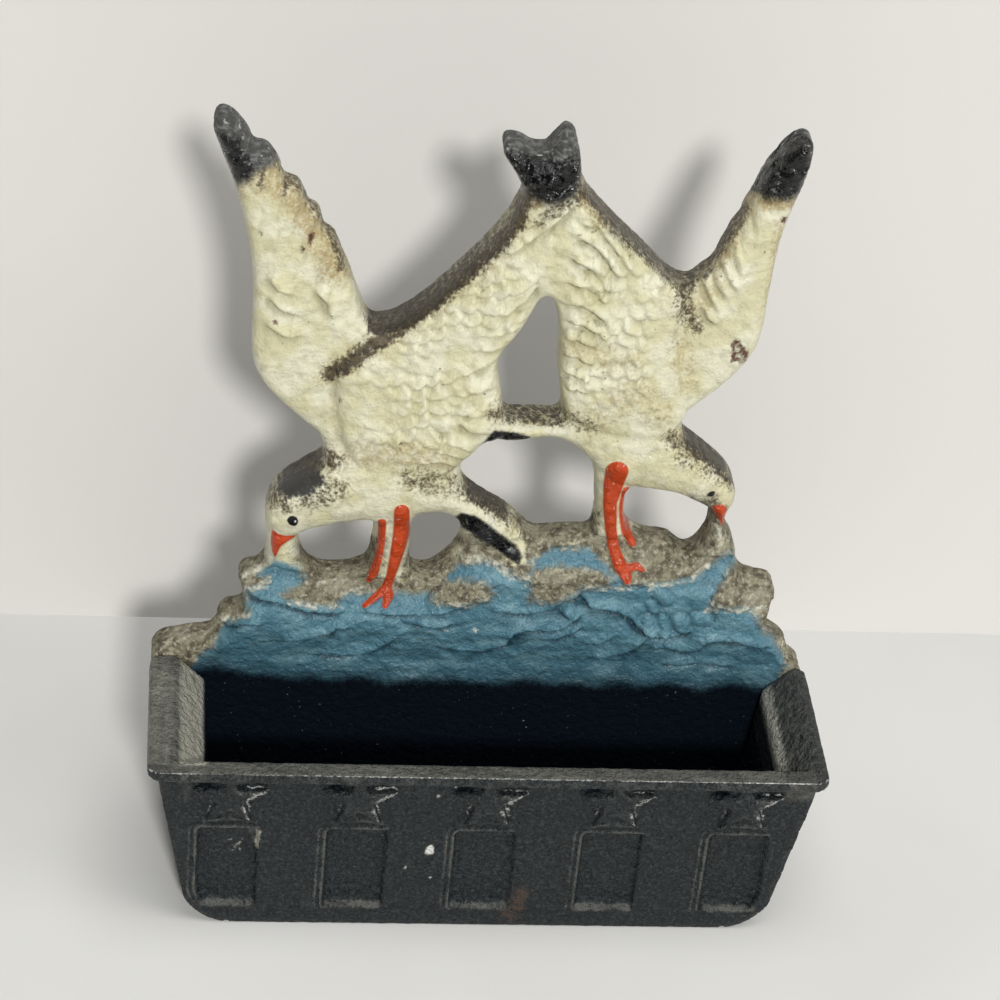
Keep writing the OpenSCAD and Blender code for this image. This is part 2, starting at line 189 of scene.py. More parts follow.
def cast_noise(x: Array, z: Array, size: float, seed: int) -> Array:
    """Smooth gradient noise.

    Args:
        x: Places across.
        z: Places up.
        size: Size of its lumps.
        seed: Seed of its lattice.

    Returns:
        Noise of about -1 to 1 at each place.
    """
    turn = np.random.default_rng(seed).uniform(0.0, 2.0 * np.pi, (64, 64))
    u, v = x / size, z / size
    i, j = np.floor(u).astype(int), np.floor(v).astype(int)
    fu, fv = u - i, v - j
    wu, wv = (t * t * t * (t * (6.0 * t - 15.0) + 10.0) for t in (fu, fv))

    def corner(di: int, dj: int) -> Array:
        """Part of the noise that comes from one corner of the lattice."""
        angle = turn[(i + di) % 64, (j + dj) % 64]
        return np.cos(angle) * (fu - di) + np.sin(angle) * (fv - dj)

    low = corner(0, 0) * (1.0 - wu) + corner(1, 0) * wu
    high = corner(0, 1) * (1.0 - wu) + corner(1, 1) * wu
    return (low * (1.0 - wv) + high * wv) * 1.5


def vertices_of(mesh: Mesh) -> Array:
    """Vertices of a mesh in millimetres."""
    flat = np.empty(len(mesh.vertices) * 3)
    mesh.vertices.foreach_get("co", flat)
    return flat.reshape(-1, 3) / MM


def normals_of(mesh: Mesh) -> Array:
    """Vertex normals of a mesh."""
    flat = np.empty(len(mesh.vertices) * 3)
    mesh.vertex_normals.foreach_get("vector", flat)
    return flat.reshape(-1, 3)


def put_vertices(mesh: Mesh, places: Array) -> None:
    """Moves a mesh's vertices to places in millimetres."""
    mesh.vertices.foreach_set("co", (places * MM).ravel())
    mesh.update()


def put_field(mesh: Mesh, name: str, values: Array) -> None:
    """Stores a number on each vertex of a mesh."""
    mesh.attributes.new(name, "FLOAT", "POINT").data.foreach_set("value", values.astype(np.float32))


@contextmanager
def edited(mesh: Mesh) -> Iterator[bmesh.types.BMesh]:
    """Opens a mesh for editing and writes it back at the end."""
    work = bmesh.new()
    work.from_mesh(mesh)
    yield work
    work.to_mesh(mesh)
    work.free()


def new_object(name: str, mesh: Mesh) -> Object:
    """Adds a smooth-shaded object to the scene."""
    mesh.polygons.foreach_set("use_smooth", [True] * len(mesh.polygons))
    obj = bpy.data.objects.new(name, mesh)
    bpy.context.scene.collection.objects.link(obj)
    return obj


def plain_mesh(obj: Object) -> None:
    """Turns an object and its modifiers into one plain mesh."""
    graph = bpy.context.evaluated_depsgraph_get()
    mesh = bpy.data.meshes.new_from_object(obj.evaluated_get(graph))
    obj.modifiers.clear()
    obj.data = mesh


def dress(obj: Object, open_finish: Material, deep_finish: Material, name: str) -> None:
    """Gives a piece one finish outside and another on its deep faces.

    Args:
        obj: The piece.
        open_finish: Finish of its open faces.
        deep_finish: Finish of the faces where the field is over one half.
        name: Field that marks the deep faces.
    """
    mesh = obj.data
    mesh.materials.append(open_finish)
    mesh.materials.append(deep_finish)
    depth, corners = np.empty(len(mesh.vertices)), np.empty(len(mesh.loops), int)
    mesh.attributes[name].data.foreach_get("value", depth)
    mesh.loops.foreach_get("vertex_index", corners)
    starts, totals = np.empty(len(mesh.polygons), int), np.empty(len(mesh.polygons), int)
    mesh.polygons.foreach_get("loop_start", starts)
    mesh.polygons.foreach_get("loop_total", totals)
    share = np.add.reduceat(depth[corners], starts) / totals
    mesh.polygons.foreach_set("material_index", (share > 0.5).astype(int))


def hand_over(obj: Object, node: str) -> None:
    """Puts a piece on the body in place of its CAD node.

    Args:
        obj: The finished piece.
        node: CAD node that it stands for.
    """
    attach(obj, BODY)
    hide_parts(node)
    LOG.info("%s: %d vertices, %d faces", obj.name, len(obj.data.vertices), len(obj.data.polygons))


# Finishes


def shade(code: str) -> tuple[float, float, float, float]:
    """Linear colour of a six-figure display colour."""
    parts = np.array([int(code[i : i + 2], 16) for i in (0, 2, 4)]) / 255.0
    linear = np.where(parts <= 0.04045, parts / 12.92, ((parts + 0.055) / 1.055) ** 2.4)
    return (*map(float, linear), 1.0)


class Bench:
    """Bench on which a finish's nodes are wired."""

    def __init__(self, name: str) -> None:
        """Starts a material that holds one shader.

        Args:
            name: Name of the finish.
        """
        self.material = bpy.data.materials.new(name)
        self.material.use_nodes = True
        self.tree = self.material.node_tree
        self.tree.nodes.clear()
        self.shader = self.tree.nodes.new("ShaderNodeBsdfPrincipled")
        output = self.tree.nodes.new("ShaderNodeOutputMaterial")
        self.surface = output.inputs["Surface"]
        self.feed(self.surface, self.shader.outputs["BSDF"])
        self.place = self.tree.nodes.new("ShaderNodeTexCoord").outputs["Object"]

    def feed(self, socket: Socket, value: Input) -> None:
        """Links a socket, or sets it to a number, some numbers or a display colour."""
        if isinstance(value, Socket):
            self.tree.links.new(value, socket)
        else:
            socket.default_value = shade(value) if isinstance(value, str) else value

    def node(self, kind: str, inputs: dict[str | int, Input], **settings: str) -> Node:
        """Adds a shader node.

        Args:
            kind: Its kind.
            inputs: What feeds its sockets, by their names or numbers.
            settings: Its own settings.

        Returns:
            The new node.
        """
        node = self.tree.nodes.new("ShaderNode" + kind)
        for name, value in settings.items():
            setattr(node, name, value)
        for name, value in inputs.items():
            self.feed(node.inputs[name], value)
        return node

    def field(self, name: str) -> Socket:
        """Number stored on the piece's vertices."""
        return self.node("Attribute", {}, attribute_name=name).outputs["Fac"]

    def noise(self, size: float, detail: float = 3.0, stretch: tuple = (1.0, 1.0, 1.0)) -> Socket:
        """Noise on the piece's own coordinates.

        Args:
            size: Size of its lumps in millimetres.
            detail: Number of finer layers.
            stretch: How many times longer its lumps are along each axis.

        Returns:
            Its socket, about 0.2 to 0.8.
        """
        scale = [1.0 / (size * MM * s) for s in stretch]
        place = self.node("Mapping", {"Scale": scale, "Vector": self.place}).outputs["Vector"]
        return self.node("TexNoise", {"Scale": 1.0, "Detail": detail, "Vector": place}).outputs["Fac"]

    def math(self, kind: str, a: Socket | float, b: Socket | float) -> Socket:
        """Arithmetic on two numbers."""
        return self.node("Math", {0: a, 1: b}, operation=kind).outputs[0]

    def times(self, a: Socket | float, b: Socket | float) -> Socket:
        """Product of two numbers."""
        return self.math("MULTIPLY", a, b)

    def ragged(self, value: Socket, grain: Socket, rough: float) -> Socket:
        """Number that a grain lifts and lowers by up to half the roughness."""
        return self.math("ADD", value, self.times(self.math("SUBTRACT", grain, 0.5), rough))

    def rise(self, value: Socket, low: float, high: float) -> Socket:
        """Smooth rise from 0 at low to 1 at high; low above high makes it a fall."""
        start = 1.0 if low > high else 0.0
        inputs = {"Value": value, "From Min": min(low, high), "From Max": max(low, high)}
        inputs |= {"To Min": start, "To Max": 1.0 - start}
        node = self.node("MapRange", inputs, interpolation_type="SMOOTHSTEP")
        return node.outputs["Result"]

    def mottle(self, size: float, detail: float, low: float, high: float, share: Socket | float) -> Socket:
        """Patches where a noise lies over two levels, laid on by a share.

        Args:
            size: Size of the noise's lumps in millimetres.
            detail: Number of its finer layers.
            low: Level at which a patch starts.
            high: Level at which it is full.
            share: Share of a full patch.

        Returns:
            The share of the patches.
        """
        return self.times(self.rise(self.noise(size, detail), low, high), share)

    def coats(self, under: Colour, *layers: tuple[Colour, Socket]) -> Socket:
        """Lays colours over another in order, each by its share."""
        for over, share in layers:
            under = self.coat(under, over, share)
        return under

    def coat(self, under: Colour, over: Colour, share: Socket) -> Socket:
        """Lays one colour over another by a share."""
        return self.node("Mix", {0: share, 6: under, 7: over}, data_type="RGBA").outputs[2]

    def blend(self, under: Socket | float, over: Socket | float, share: Socket | float) -> Socket:
        """Lays one number over another by a share."""
        return self.node("Mix", {0: share, 2: under, 3: over}, data_type="FLOAT").outputs[0]

    def spray(self, name: str, grain: Socket, rough: float) -> Socket:
        """Share of sprayed paint: a mist that breaks up into its grain where it thins out.

        Args:
            name: Field that holds the density of the paint, from 0 to 1.
            grain: Grain of the spray, from 0 to 1.
            rough: How far the grain breaks it up.

        Returns:
            The share of the paint.
        """
        density = self.field(name)
        body = self.rise(self.ragged(density, grain, rough), 0.02, 0.98)
        return self.times(body, self.rise(density, 0.0, 0.15))

    def dust(self, share: Socket) -> Socket:
        """Fine pale specks that gather in drifts over a share of the surface."""
        specks = self.rise(self.noise(0.8, 1.0), 0.71, 0.78)
        drifts = self.blend(0.12, 0.6, self.rise(self.noise(16.0, 2.0), 0.45, 0.65))
        return self.times(self.times(specks, drifts), share)

    def bump(self, height: Socket, depth: float, under: Socket | None = None) -> Socket:
        """Fine relief of a depth in millimetres, on top of an earlier one."""
        inputs = {"Strength": 1.0, "Distance": depth * MM, "Height": height}
        if under is not None:
            inputs["Normal"] = under
        return self.node("Bump", inputs).outputs["Normal"]

    def finish(
        self, colour: Socket, rough: Socket | float, normal: Socket, metal: float = 0.0, shine: float = 0.5
    ) -> Material:
        """Feeds the shader and gives the finished material."""
        looks = {"Base Color": colour, "Roughness": rough, "Normal": normal}
        looks |= {"Metallic": metal, "Specular IOR Level": shine}
        for name, value in looks.items():
            self.feed(self.shader.inputs[name], value)
        return self.material


@dataclass(frozen=True)
class PlatePaint:
    """Hand-sprayed enamel on the plate, with a bare cast back."""

    cream: str = "d3cea8"
    cream_pale: str = "dfdcc2"
    dirt_and_shade: str = "97906c"
    brown: str = "584c37"
    wall: str = "332d23"
    wall_pale: str = "6a5f49"
    gold: str = "a8956a"
    black: str = "07080a"
    black_dry: str = "434341"
    fleck_and_glint: str = "d0d0ca"
    grey: str = "3c3a37"
    sea: str = "55808f"
    sea_pale: str = "749ca6"
    sea_dark_and_shade: str = "1d3d4a"
    sea_black: str = "0a1119"
    dust: str = "9aaaa6"
    crest: str = "8d8871"
    crest_dark: str = "4d4536"
    crest_pale: str = "b9b59f"
    foam_and_glint: str = "d6d6c4"
    orange: str = "c4461a"
    orange_dull: str = "a83c1a"
    rust: str = "573723"
    white: str = "f4f4f0"
    # The bare iron colours are made lighter, as painted light for the dimly lit back.
    iron: str = "504d48"
    iron_brown: str = "776149"

    def gulls(self, b: Bench, mist: Socket) -> Socket:
        """Cream feathers with their stains and sprays, and painted shade in their carved grooves."""
        burnt = b.coat(self.brown, self.wall, b.mottle(1.0, 3.0, 0.45, 0.62, 0.8))
        wall = b.coat(self.wall, self.wall_pale, b.mottle(1.2, 4.0, 0.45, 0.7, 0.5))
        return b.coats(
            self.cream,
            (self.cream_pale, b.rise(b.noise(6.0, 3.0), 0.38, 0.62)),
            (self.dirt_and_shade, b.mottle(1.8, 4.0, 0.48, 0.72, 0.3)),
            # Painted shade in the carved grooves, in the same colour as the stains.
            (self.dirt_and_shade, b.times(b.rise(b.field("cut"), 0.1, 0.8), 0.55)),
            (self.gold, b.spray("gold", mist, 0.7)),
            (self.brown, b.mottle(1.1, 1.0, 0.755, 0.79, 0.7)),
            (burnt, b.spray("brown", mist, 0.95)),
            (wall, b.spray("wall", mist, 0.5)),
            (self.grey, b.spray("cap", mist, 0.9)),
        )

    def shore(self, b: Bench) -> Socket:
        """Tan wave crests, mottled brown and pale."""
        return b.coats(
            self.crest,
            (self.crest_dark, b.mottle(1.7, 3.0, 0.38, 0.64, 0.9)),
            (self.crest_dark, b.mottle(0.6, 2.0, 0.52, 0.66, 0.5)),
            (self.crest_pale, b.mottle(0.9, 3.0, 0.52, 0.68, 0.65)),
            (self.crest_pale, b.mottle(6.0, 2.0, 0.5, 0.7, 0.3)),
        )

    def water(self, b: Bench, grain: Socket, patch: Socket) -> Socket:
        """Blue sea with painted shade in its hollows, darker in random patches and towards the bottom."""
        long_patches = b.rise(b.noise(3.6, 3.0, (1.8, 1.0, 1.0)), 0.45, 0.68)
        return b.coats(
            self.sea,
            (self.sea_pale, b.times(long_patches, 0.75)),
            # Painted shade in the hollows of the waves.
            (self.sea_dark_and_shade, b.times(b.rise(b.field("cut"), 0.1, 0.7), 0.85)),
            (self.sea_dark_and_shade, b.times(b.times(grain, patch), 0.3)),
            # Darker towards the bottom of the sea.
            (self.sea_dark_and_shade, b.field("dim")),
        )

    def tips(self, b: Bench, dry: Socket) -> Socket:
        """Gloss black of the wing tips, grey where it is dry, with pale streaks where dry and flecks that are
        partly wear and partly painted glints.
        """
        brushed = b.times(b.rise(b.noise(1.5, 3.0, (1.0, 1.0, 0.4)), 0.42, 0.7), dry)
        edge = b.times(b.times(dry, b.math("SUBTRACT", 1.0, dry)), 4.0)
        rubbed = b.math("MAXIMUM", b.math("MAXIMUM", edge, 0.3), b.field("rim"))
        return b.coats(
            self.black,
            (self.black_dry, dry),
            (self.fleck_and_glint, b.times(brushed, 0.22)),
            # Pale flecks near the edges and over the tips: partly wear, partly painted glints.
            (self.fleck_and_glint, b.times(b.mottle(1.1, 2.0, 0.64, 0.72, rubbed), 0.6)),
        )

    def legs(self, b: Bench, patch: Socket) -> Socket:
        """Orange of the legs and beaks, dulled in patches and flecked with painted glints."""
        return b.coats(
            self.orange,
            (self.orange_dull, b.times(patch, 0.7)),
            (self.fleck_and_glint, b.mottle(0.8, 1.0, 0.7, 0.76, 0.5)),
        )

    def bare(self, b: Bench, mist: Socket) -> Socket:
        """Bare iron of the back, browned in patches, its colours made lighter as painted light for the dimly
        lit back.
        """
        return b.coat(self.iron, self.iron_brown, b.mottle(7.0, 5.0, 0.42, 0.68, b.blend(0.4, 0.9, mist)))

    def material(self, name: str, shine: float) -> Material:
        """Builds the finish from the fields painted on the plate.

        Args:
            name: Name of the material.
            shine: Strength of its gloss.

        Returns:
            The finished material.
        """
        b = Bench(name)
        grain = b.rise(b.noise(0.55, 2.0), 0.3, 0.7)
        patch = b.rise(b.noise(1.3, 3.0), 0.3, 0.7)
        mist = b.blend(grain, patch, 0.5)
        land = b.spray("crest", mist, 0.6)
        sea = b.rise(b.ragged(b.field("blue"), patch, 1.0), 1.3, -1.3)
        deep = b.spray("deep", mist, 0.25)
        black = b.spray("black", mist, 0.25)
        dry = b.rise(b.ragged(b.field("dry"), patch, 0.8), 0.15, 0.85)
        limb = b.rise(b.field("orange"), 0.18, -0.18)
        back = b.rise(b.field("back"), 0.4, 0.7)
        colour = b.coats(
            self.gulls(b, mist),
            (self.shore(b), land),
            (self.water(b, grain, patch), sea),
            # White water, and small painted glints on the sea.
            (self.foam_and_glint, b.spray("foam_and_glint", patch, 0.7)),
            (self.sea_black, deep),
            (self.dust, b.dust(b.field("deep"))),
            (self.tips(b, dry), black),
            (self.legs(b, patch), limb),
            (self.rust, b.spray("rust", mist, 0.8)),
            (self.black, b.rise(b.field("eye"), 0.12, -0.12)),
            (self.white, b.rise(b.field("glint"), 0.1, -0.1)),
            (self.bare(b, mist), back),
        )
        rough = b.blend(0.42, 0.8, land)
        tip_rough = b.blend(0.13, 0.6, dry)
        for over, share in ((0.34, sea), (0.9, deep), (tip_rough, black), (0.25, limb), (0.75, back)):
            rough = b.blend(rough, over, share)
        lumps = b.times(b.noise(1.5, 3.0), b.blend(b.blend(1.0, 0.3, sea), 0.25, black))
        wet = b.times(black, b.math("SUBTRACT", 1.0, dry))
        normal = b.bump(grain, 0.07)
        normal = b.bump(lumps, 0.3, normal)
        normal = b.bump(b.times(patch, land), 0.2, normal)
        normal = b.bump(b.mottle(3.4, 1.0, 0.3, 0.7, wet), 0.9, normal)
        return b.finish(colour, rough, normal, shine=shine)


@dataclass(frozen=True)
class TroughBlack:
    """Black enamel on rough iron, worn grey along its edges, with painted highlights along some edges and
    where the ends bend, and painted shadows beside the stars.
    """

    black: str = "12171a"
    streak: str = "1f2528"
    mist: str = "353b3c"
    worn: str = "5a5b57"
    pale: str = "a09e91"
    bright: str = "d8d8d2"
    inside: str = "0c141d"
    dust: str = "9aaaa6"
    rust: str = "4b3b30"
    chip: str = "e2e2dc"

    def material(self, name: str, shine: float) -> Material:
        """Builds the finish from the wear stored on the trough.

        Args:
            name: Name of the material.
            shine: Strength of its gloss.

        Returns:
            The finished material.
        """
        b = Bench(name)
        grain = b.rise(b.noise(0.5, 2.0), 0.3, 0.7)
        patch = b.rise(b.noise(1.5, 3.0), 0.3, 0.7)
        mist = b.blend(grain, patch, 0.5)
        hollow = b.field("inside")
        colour = b.coats(
            self.black,
            (self.streak, patch),
            (self.mist, b.mottle(0.7, 3.0, 0.46, 0.7, 0.9)),
            # The pale, worn and bright layers carry wear together with painted highlights; the inside colour
            # also lays painted shadows beside the stars.
            (self.pale, b.spray("pale", mist, 0.2)),
            (self.worn, b.spray("worn", mist, 0.8)),
            (self.inside, hollow),
            (self.dust, b.dust(hollow)),
            (self.rust, b.spray("rust", mist, 1.2)),
            (self.bright, b.spray("bright", grain, 0.45)),
            (self.chip, b.field("chip")),
        )
        rough = b.blend(b.blend(0.34, 0.55, patch), 0.95, hollow)
        normal = b.bump(grain, 0.18)
        normal = b.bump(patch, 0.4, normal)
        return b.finish(colour, rough, normal, shine=shine)


@dataclass(frozen=True)
class FixingSteel:
    """Dull steel of the bolts and nuts, browned in its hollows."""

    steel: str = "6c6a66"
    brown: str = "4a3524"

    def material(self) -> Material:
        """Builds the finish on the pieces' own coordinates."""
        b = Bench("fixing_steel")
        grain = b.noise(0.8, 4.0)
        colour = b.coat(self.steel, self.brown, b.rise(grain, 0.48, 0.66))
        rough = b.blend(0.35, 0.7, b.rise(grain, 0.4, 0.65))
        return b.finish(colour, rough, b.bump(b.noise(0.4, 2.0), 0.06), metal=0.85)


# The plate


@dataclass(frozen=True)
class Groove:
    """Line that is carved into the plate, or raised on it.

    Attributes:
        points: Its corners.
        width: Half width.
        height: How far it stands out, below 0 for a groove.
        cut: How it is worked.
    """

    points: Points
    width: float
    height: float
    cut: Cut = Cut.SCORE

    def profile(self, off: Array) -> Array:
        """Share of the height at distances from the line, above it over 0."""
        w = self.width
        if self.cut is Cut.WAVE:
            above = soft_step(off, -0.4, 0.4)
            hollow = np.exp(-np.abs(off) / (1.3 * w))
            return hollow * (1.0 - above) - 0.75 * bell(off, 2.2 * w) * above
        if self.cut is Cut.FINGER:
            round_top = np.sqrt(np.maximum(1.0 - (off / (1.2 * w)) ** 2, 0.0))
            return round_top - 0.35 * bell(np.abs(off) - 1.4 * w, 0.35 * w)
        return bell(off, w)


@dataclass(frozen=True)
class FeatherFan:
    """Row of grooves between feathers, spread evenly from a first line to a last.

    Attributes:
        first: Corners of the first groove.
        last: Corners of the last groove, as many as the first has.
        count: Number of grooves.
        width: Half width of a groove.
        height: How far a groove stands out, below 0 for a cut.
    """

    first: Points
    last: Points
    count: int
    width: float
    height: float

    def grooves(self) -> list[Groove]:
        """Grooves of the fan in order."""
        a, b = np.array(self.first), np.array(self.last)
        lines = [a + (b - a) * k / (self.count - 1) for k in range(self.count)]
        return [Groove([tuple(p) for p in line], self.width, self.height) for line in lines]


@dataclass(frozen=True)
class Spray:
    """Line of sprayed paint that fades out to its sides.

    Attributes:
        points: Corners of its middle line.
        width: Half width.
        density: Density along the middle.
    """

    points: Points
    width: float
    density: float


FANS = tuple(
    FeatherFan(first, last, count, width=0.45, height=-0.45)
    for count, first, last in (
        (6, ((-44.5, 153.5), (-46.5, 148), (-47.5, 143)), ((-31, 133), (-33, 127), (-34.5, 121))),
        (5, ((35.5, 131), (36.5, 127.5), (38, 124)), ((43.5, 149), (44, 144), (45, 139))),
    )
)
RIBS = tuple(
    Groove(line, width=1.0, height=-1.3, cut=Cut.WAVE)
    for line in (
        ((13.2, 143.8), (17.5, 138.2), (20, 135), (22, 131.8)),
        ((12, 139), (15.5, 136.5), (18, 133.5), (20, 130)),
        ((10.2, 134.5), (14, 132.8), (16.8, 130), (18.6, 126.8)),
        ((10, 129.3), (13.5, 128.6), (16, 127), (18, 124.6)),
        ((9.6, 124.6), (13.5, 124.4), (16.5, 122.6), (19.2, 119.8)),
        ((10.2, 121), (14, 120.2), (17, 118.6), (19, 116.6)),
        ((10.2, 117.4), (14, 116.6), (17.4, 115)),
        ((10, 113.6), (13.5, 113), (16.5, 111.5)),
        ((10.6, 109.8), (13.8, 109), (16.4, 107.6)),
        ((11.4, 106.3), (14.6, 105.6), (16.8, 104.6)),
        ((-3, 121.2), (0, 122.6), (3.2, 125.2), (4.8, 128)),
        ((-4.8, 117), (-1, 117.5), (1.8, 118.8)),
        ((-1, 125.8), (2.5, 127.3), (5, 129.8)),
        ((-5.4, 113.6), (-2.4, 114), (0, 115)),
        ((-9.2, 107.3), (-6, 109), (-1.6, 111.6)),
        ((-9.5, 103.5), (-6.5, 103.8), (-1.6, 105.5)),
        ((-9, 99.8), (-6, 99), (-1.8, 99.5)),
        ((-7.8, 97.6), (-6, 95.6), (-2.2, 95)),
        ((-10.5, 93), (-8, 92.3), (-5, 91)),
        ((-12.5, 91.2), (-9.5, 90.3), (-6.2, 89)),
        ((-16, 88), (-11, 88.3), (-7.6, 87.2)),
        ((1, 139.5), (5.5, 143.2), (9, 146)),
        ((4, 138.6), (8, 142.5), (10.5, 145.5)),
        ((-3, 134), (1, 136.4), (4, 139)),
        ((35.1, 132.1), (37, 128), (39.4, 123.8)),
        ((37.4, 133.4), (38.8, 129.6), (41.1, 126.1)),
        ((39.1, 134.5), (40.6, 131.3), (42.6, 128.2)),
        ((41.6, 136.1), (42.4, 133.8), (43, 131.6)),
        ((36.5, 124.7), (37.6, 122.3), (39.7, 120.8)),
        ((-37.6, 144.4), (-35.8, 140.3), (-35.6, 136.8)),
        ((-34, 139.6), (-32.7, 136.2), (-32.4, 131.9)),
        ((-39.9, 147.1), (-38.5, 143.7), (-38.4, 140.2)),
        ((-45.9, 128.6), (-43.9, 125.8), (-40.8, 124.5)),
        ((-45.8, 124.3), (-43.2, 121.5), (-39.4, 120.2)),
        ((-37.1, 126), (-34.5, 123.2), (-33.7, 119.6)),
        ((-46.2, 118.5), (-42.3, 115.7), (-39.2, 115.8)),
    )
)

SEA_WAVES = tuple(
    Groove(points, width, height, Cut.WAVE)
    for width, height, points in (
        (0.8, -1.6, ((-47.5, 57), (-44, 55.5), (-41, 55), (-39.5, 54.3), (-36, 53.2), (-32, 52.6),
            (-28, 52.4))),
        (0.7, -1.2, ((-52, 49.5), (-49, 49), (-46, 49.3), (-43.5, 49.5))),
        (0.7, -1.5, ((-40, 45.5), (-36, 45.8), (-33, 46.8), (-30.5, 47.5), (-29, 48.8), (-26.5, 49))),
        (0.7, -1.5, ((-33, 42.2), (-29, 42.3), (-26, 42.5), (-22, 43.5), (-20, 44.7), (-17.5, 46.3))),
        (0.7, -1.2, ((-24.5, 53), (-18, 52.3), (-12, 52.7), (-8, 53), (-3, 55))),
        (0.6, -0.98, ((-14, 50), (-9, 49.2), (-6, 50))),
        (0.7, -1.2, ((-10, 45), (-4, 44), (0, 44), (5, 45.5), (6.5, 48.5), (9, 49.5), (13, 49), (16, 49.8),
            (19, 52))),
        (0.7, -1.2, ((1, 54), (5, 53.5), (8, 53.2), (13, 54.5), (17, 57), (19, 58.5))),
        (0.6, -1.1, ((15, 54), (17, 52.5), (20, 52.8))),
        (0.7, -1.6, ((20, 57), (21, 55.2), (26, 54.5), (29.5, 52.8), (31, 50.5), (33, 48.8), (36, 48),
            (39, 48.7), (42, 49.5))),
        (0.6, -0.98, ((11, 46.8), (15, 47.2), (18, 48.5), (20, 50))),
        (0.6, -0.98, ((20, 46), (24, 46.5), (27, 48))),
        (0.7, -1.2, ((21.5, 42.5), (27, 43.5), (30, 44.6), (33, 47))),
        (0.7, -1.5, ((34, 45.3), (37, 46), (40, 45), (43.5, 45.3), (45, 46.8), (47, 47.8), (51, 47.5),
            (54, 46.5), (58, 46))),
        (0.6, -1.1, ((36, 41.7), (41, 41.5), (45, 42.3), (52, 41))),
    )
)
SEA_FINGERS = tuple(
    Groove(points, width, height=0.8, cut=Cut.FINGER)
    for width, points in (
        (1.3, ((33.0, 52.2), (33.8, 50.2))),
        (1.1, ((35.9, 52.4), (36.7, 49.9))),
        (1.55, ((39.3, 52.2), (39.7, 51.6))),
        (1.3, ((42.9, 52.9), (44.7, 52.5))),
        (1.0, ((33.4, 56.1), (34, 55.1))),
        (1.2, ((34.8, 58.6), (36.2, 57.2))),
        (1.1, ((16.7, 54.9), (17.7, 53.4))),
    )
)

CREASE = Groove(
    ((-33, 111), (-32.8, 106), (-32.1, 100), (-30.9, 94), (-29.1, 89)), width=1.0, height=-0.45
)

LEGS = (
    ((-17.7, 77, 1.5), (-17.4, 72, 1.7), (-18.1, 67, 1.35), (-18.9, 62, 0.95), (-19.8, 58.8, 0.95)),
    ((-20.2, 58.2, 1.0), (-22.2, 56, 0.8), (-23.8, 54.4, 0.6)),
    ((-19.7, 58.5, 1.1), (-19.2, 57, 1.1), (-19.7, 54.3, 0.6)),
    ((-21.4, 74.2, 0.9), (-21.3, 70, 0.75), (-21.7, 65.5, 0.8), (-22.4, 62.5, 0.95), (-23.2, 60.6, 0.6)),
    ((23.6, 87.4, 2.3), (23.2, 84.5, 2.0), (22.9, 80, 1.4), (23.6, 74, 1.15), (24.6, 69.5, 1.1),
        (26.2, 65.5, 1.3), (27.8, 62.5, 1.1), (28.2, 61.3, 0.6)),
    ((27.3, 64.5, 1.2), (29.5, 65.3, 0.9), (30.9, 64.3, 0.5)),
    ((25.9, 83, 0.9), (25.6, 80, 0.85), (25.8, 77, 0.85), (26.7, 73.5, 0.95), (28.3, 70.6, 0.75)),
)
BEAKS = (
    ((-42.8, 72.2), (-41.5, 71), (-40, 70.6), (-37.6, 70.9), (-39.5, 69.4), (-41, 68), (-41.6, 66),
        (-42, 65.5), (-42.6, 67), (-43, 69.5)),
    ((43.3, 80), (44.5, 80.3), (45.8, 80.2), (46.3, 78.5), (46, 76.2), (45.5, 75.4), (44.6, 77),
        (43.2, 79.2)),
)
EYES = (
    ((-40, 74.2), (-39.6, 75.1), (-38.8, 75.4), (-38, 74.9), (-37.7, 74), (-38, 73.1), (-38.6, 72.9),
        (-39.4, 73.2)),
    ((41.7, 82.2), (42.2, 83.2), (43.4, 83.5), (43.2, 82.3), (42.6, 82.1)),
)
GLINT = ((-38.5, 74.4), (-38.1, 74.2), (-38.2, 73.7), (-38.6, 73.9))

BLACK_PATCHES = (
    ((-62, 160), (-60, 170), (-46, 163), (-44.5, 155), (-46, 152), (-48, 151.5), (-50, 149), (-52, 148),
        (-54, 149.5)),
    ((-8, 166), (-7, 157), (-1.5, 151.5), (1.5, 148.5), (3.5, 146.3), (6, 146), (9.5, 147), (10.6, 149),
        (11.3, 155), (13, 166)),
    ((42.2, 150.5), (44.5, 150), (46, 148.5), (50, 148.5), (52.5, 150), (57, 160), (54, 170), (44, 166)),
    ((-8, 75.4), (-5, 73), (0, 69.4), (4, 66.3), (6.2, 64.8), (6.8, 67), (5.2, 69.6), (0, 74), (-3, 76.3),
        (-6, 77)),
    ((-3, 93), (-1, 96.2), (3, 95.8), (6, 95), (6.5, 93.6), (2, 92.6)),
)
CAP = (
    (-42.3, 80.8), (-41.7, 84), (-39.8, 85.9), (-37, 86.4), (-33.6, 85.6), (-32.8, 83.3), (-34.6, 80.7),
    (-37.6, 79.3), (-40.5, 78.9),
)
WET_LEFT = (
    (-56.6, 157.6), (-54, 158.6), (-51.4, 155), (-49, 150.5), (-48.6, 146), (-53, 145), (-55.4, 151.8),
)
DRY_MIDDLE = (
    (-6, 164), (-0.5, 164), (7.2, 168), (12, 164), (10.8, 156.2), (7.1, 154.4), (3, 155.9), (-0.3, 155.8),
    (-3.6, 157.2),
)

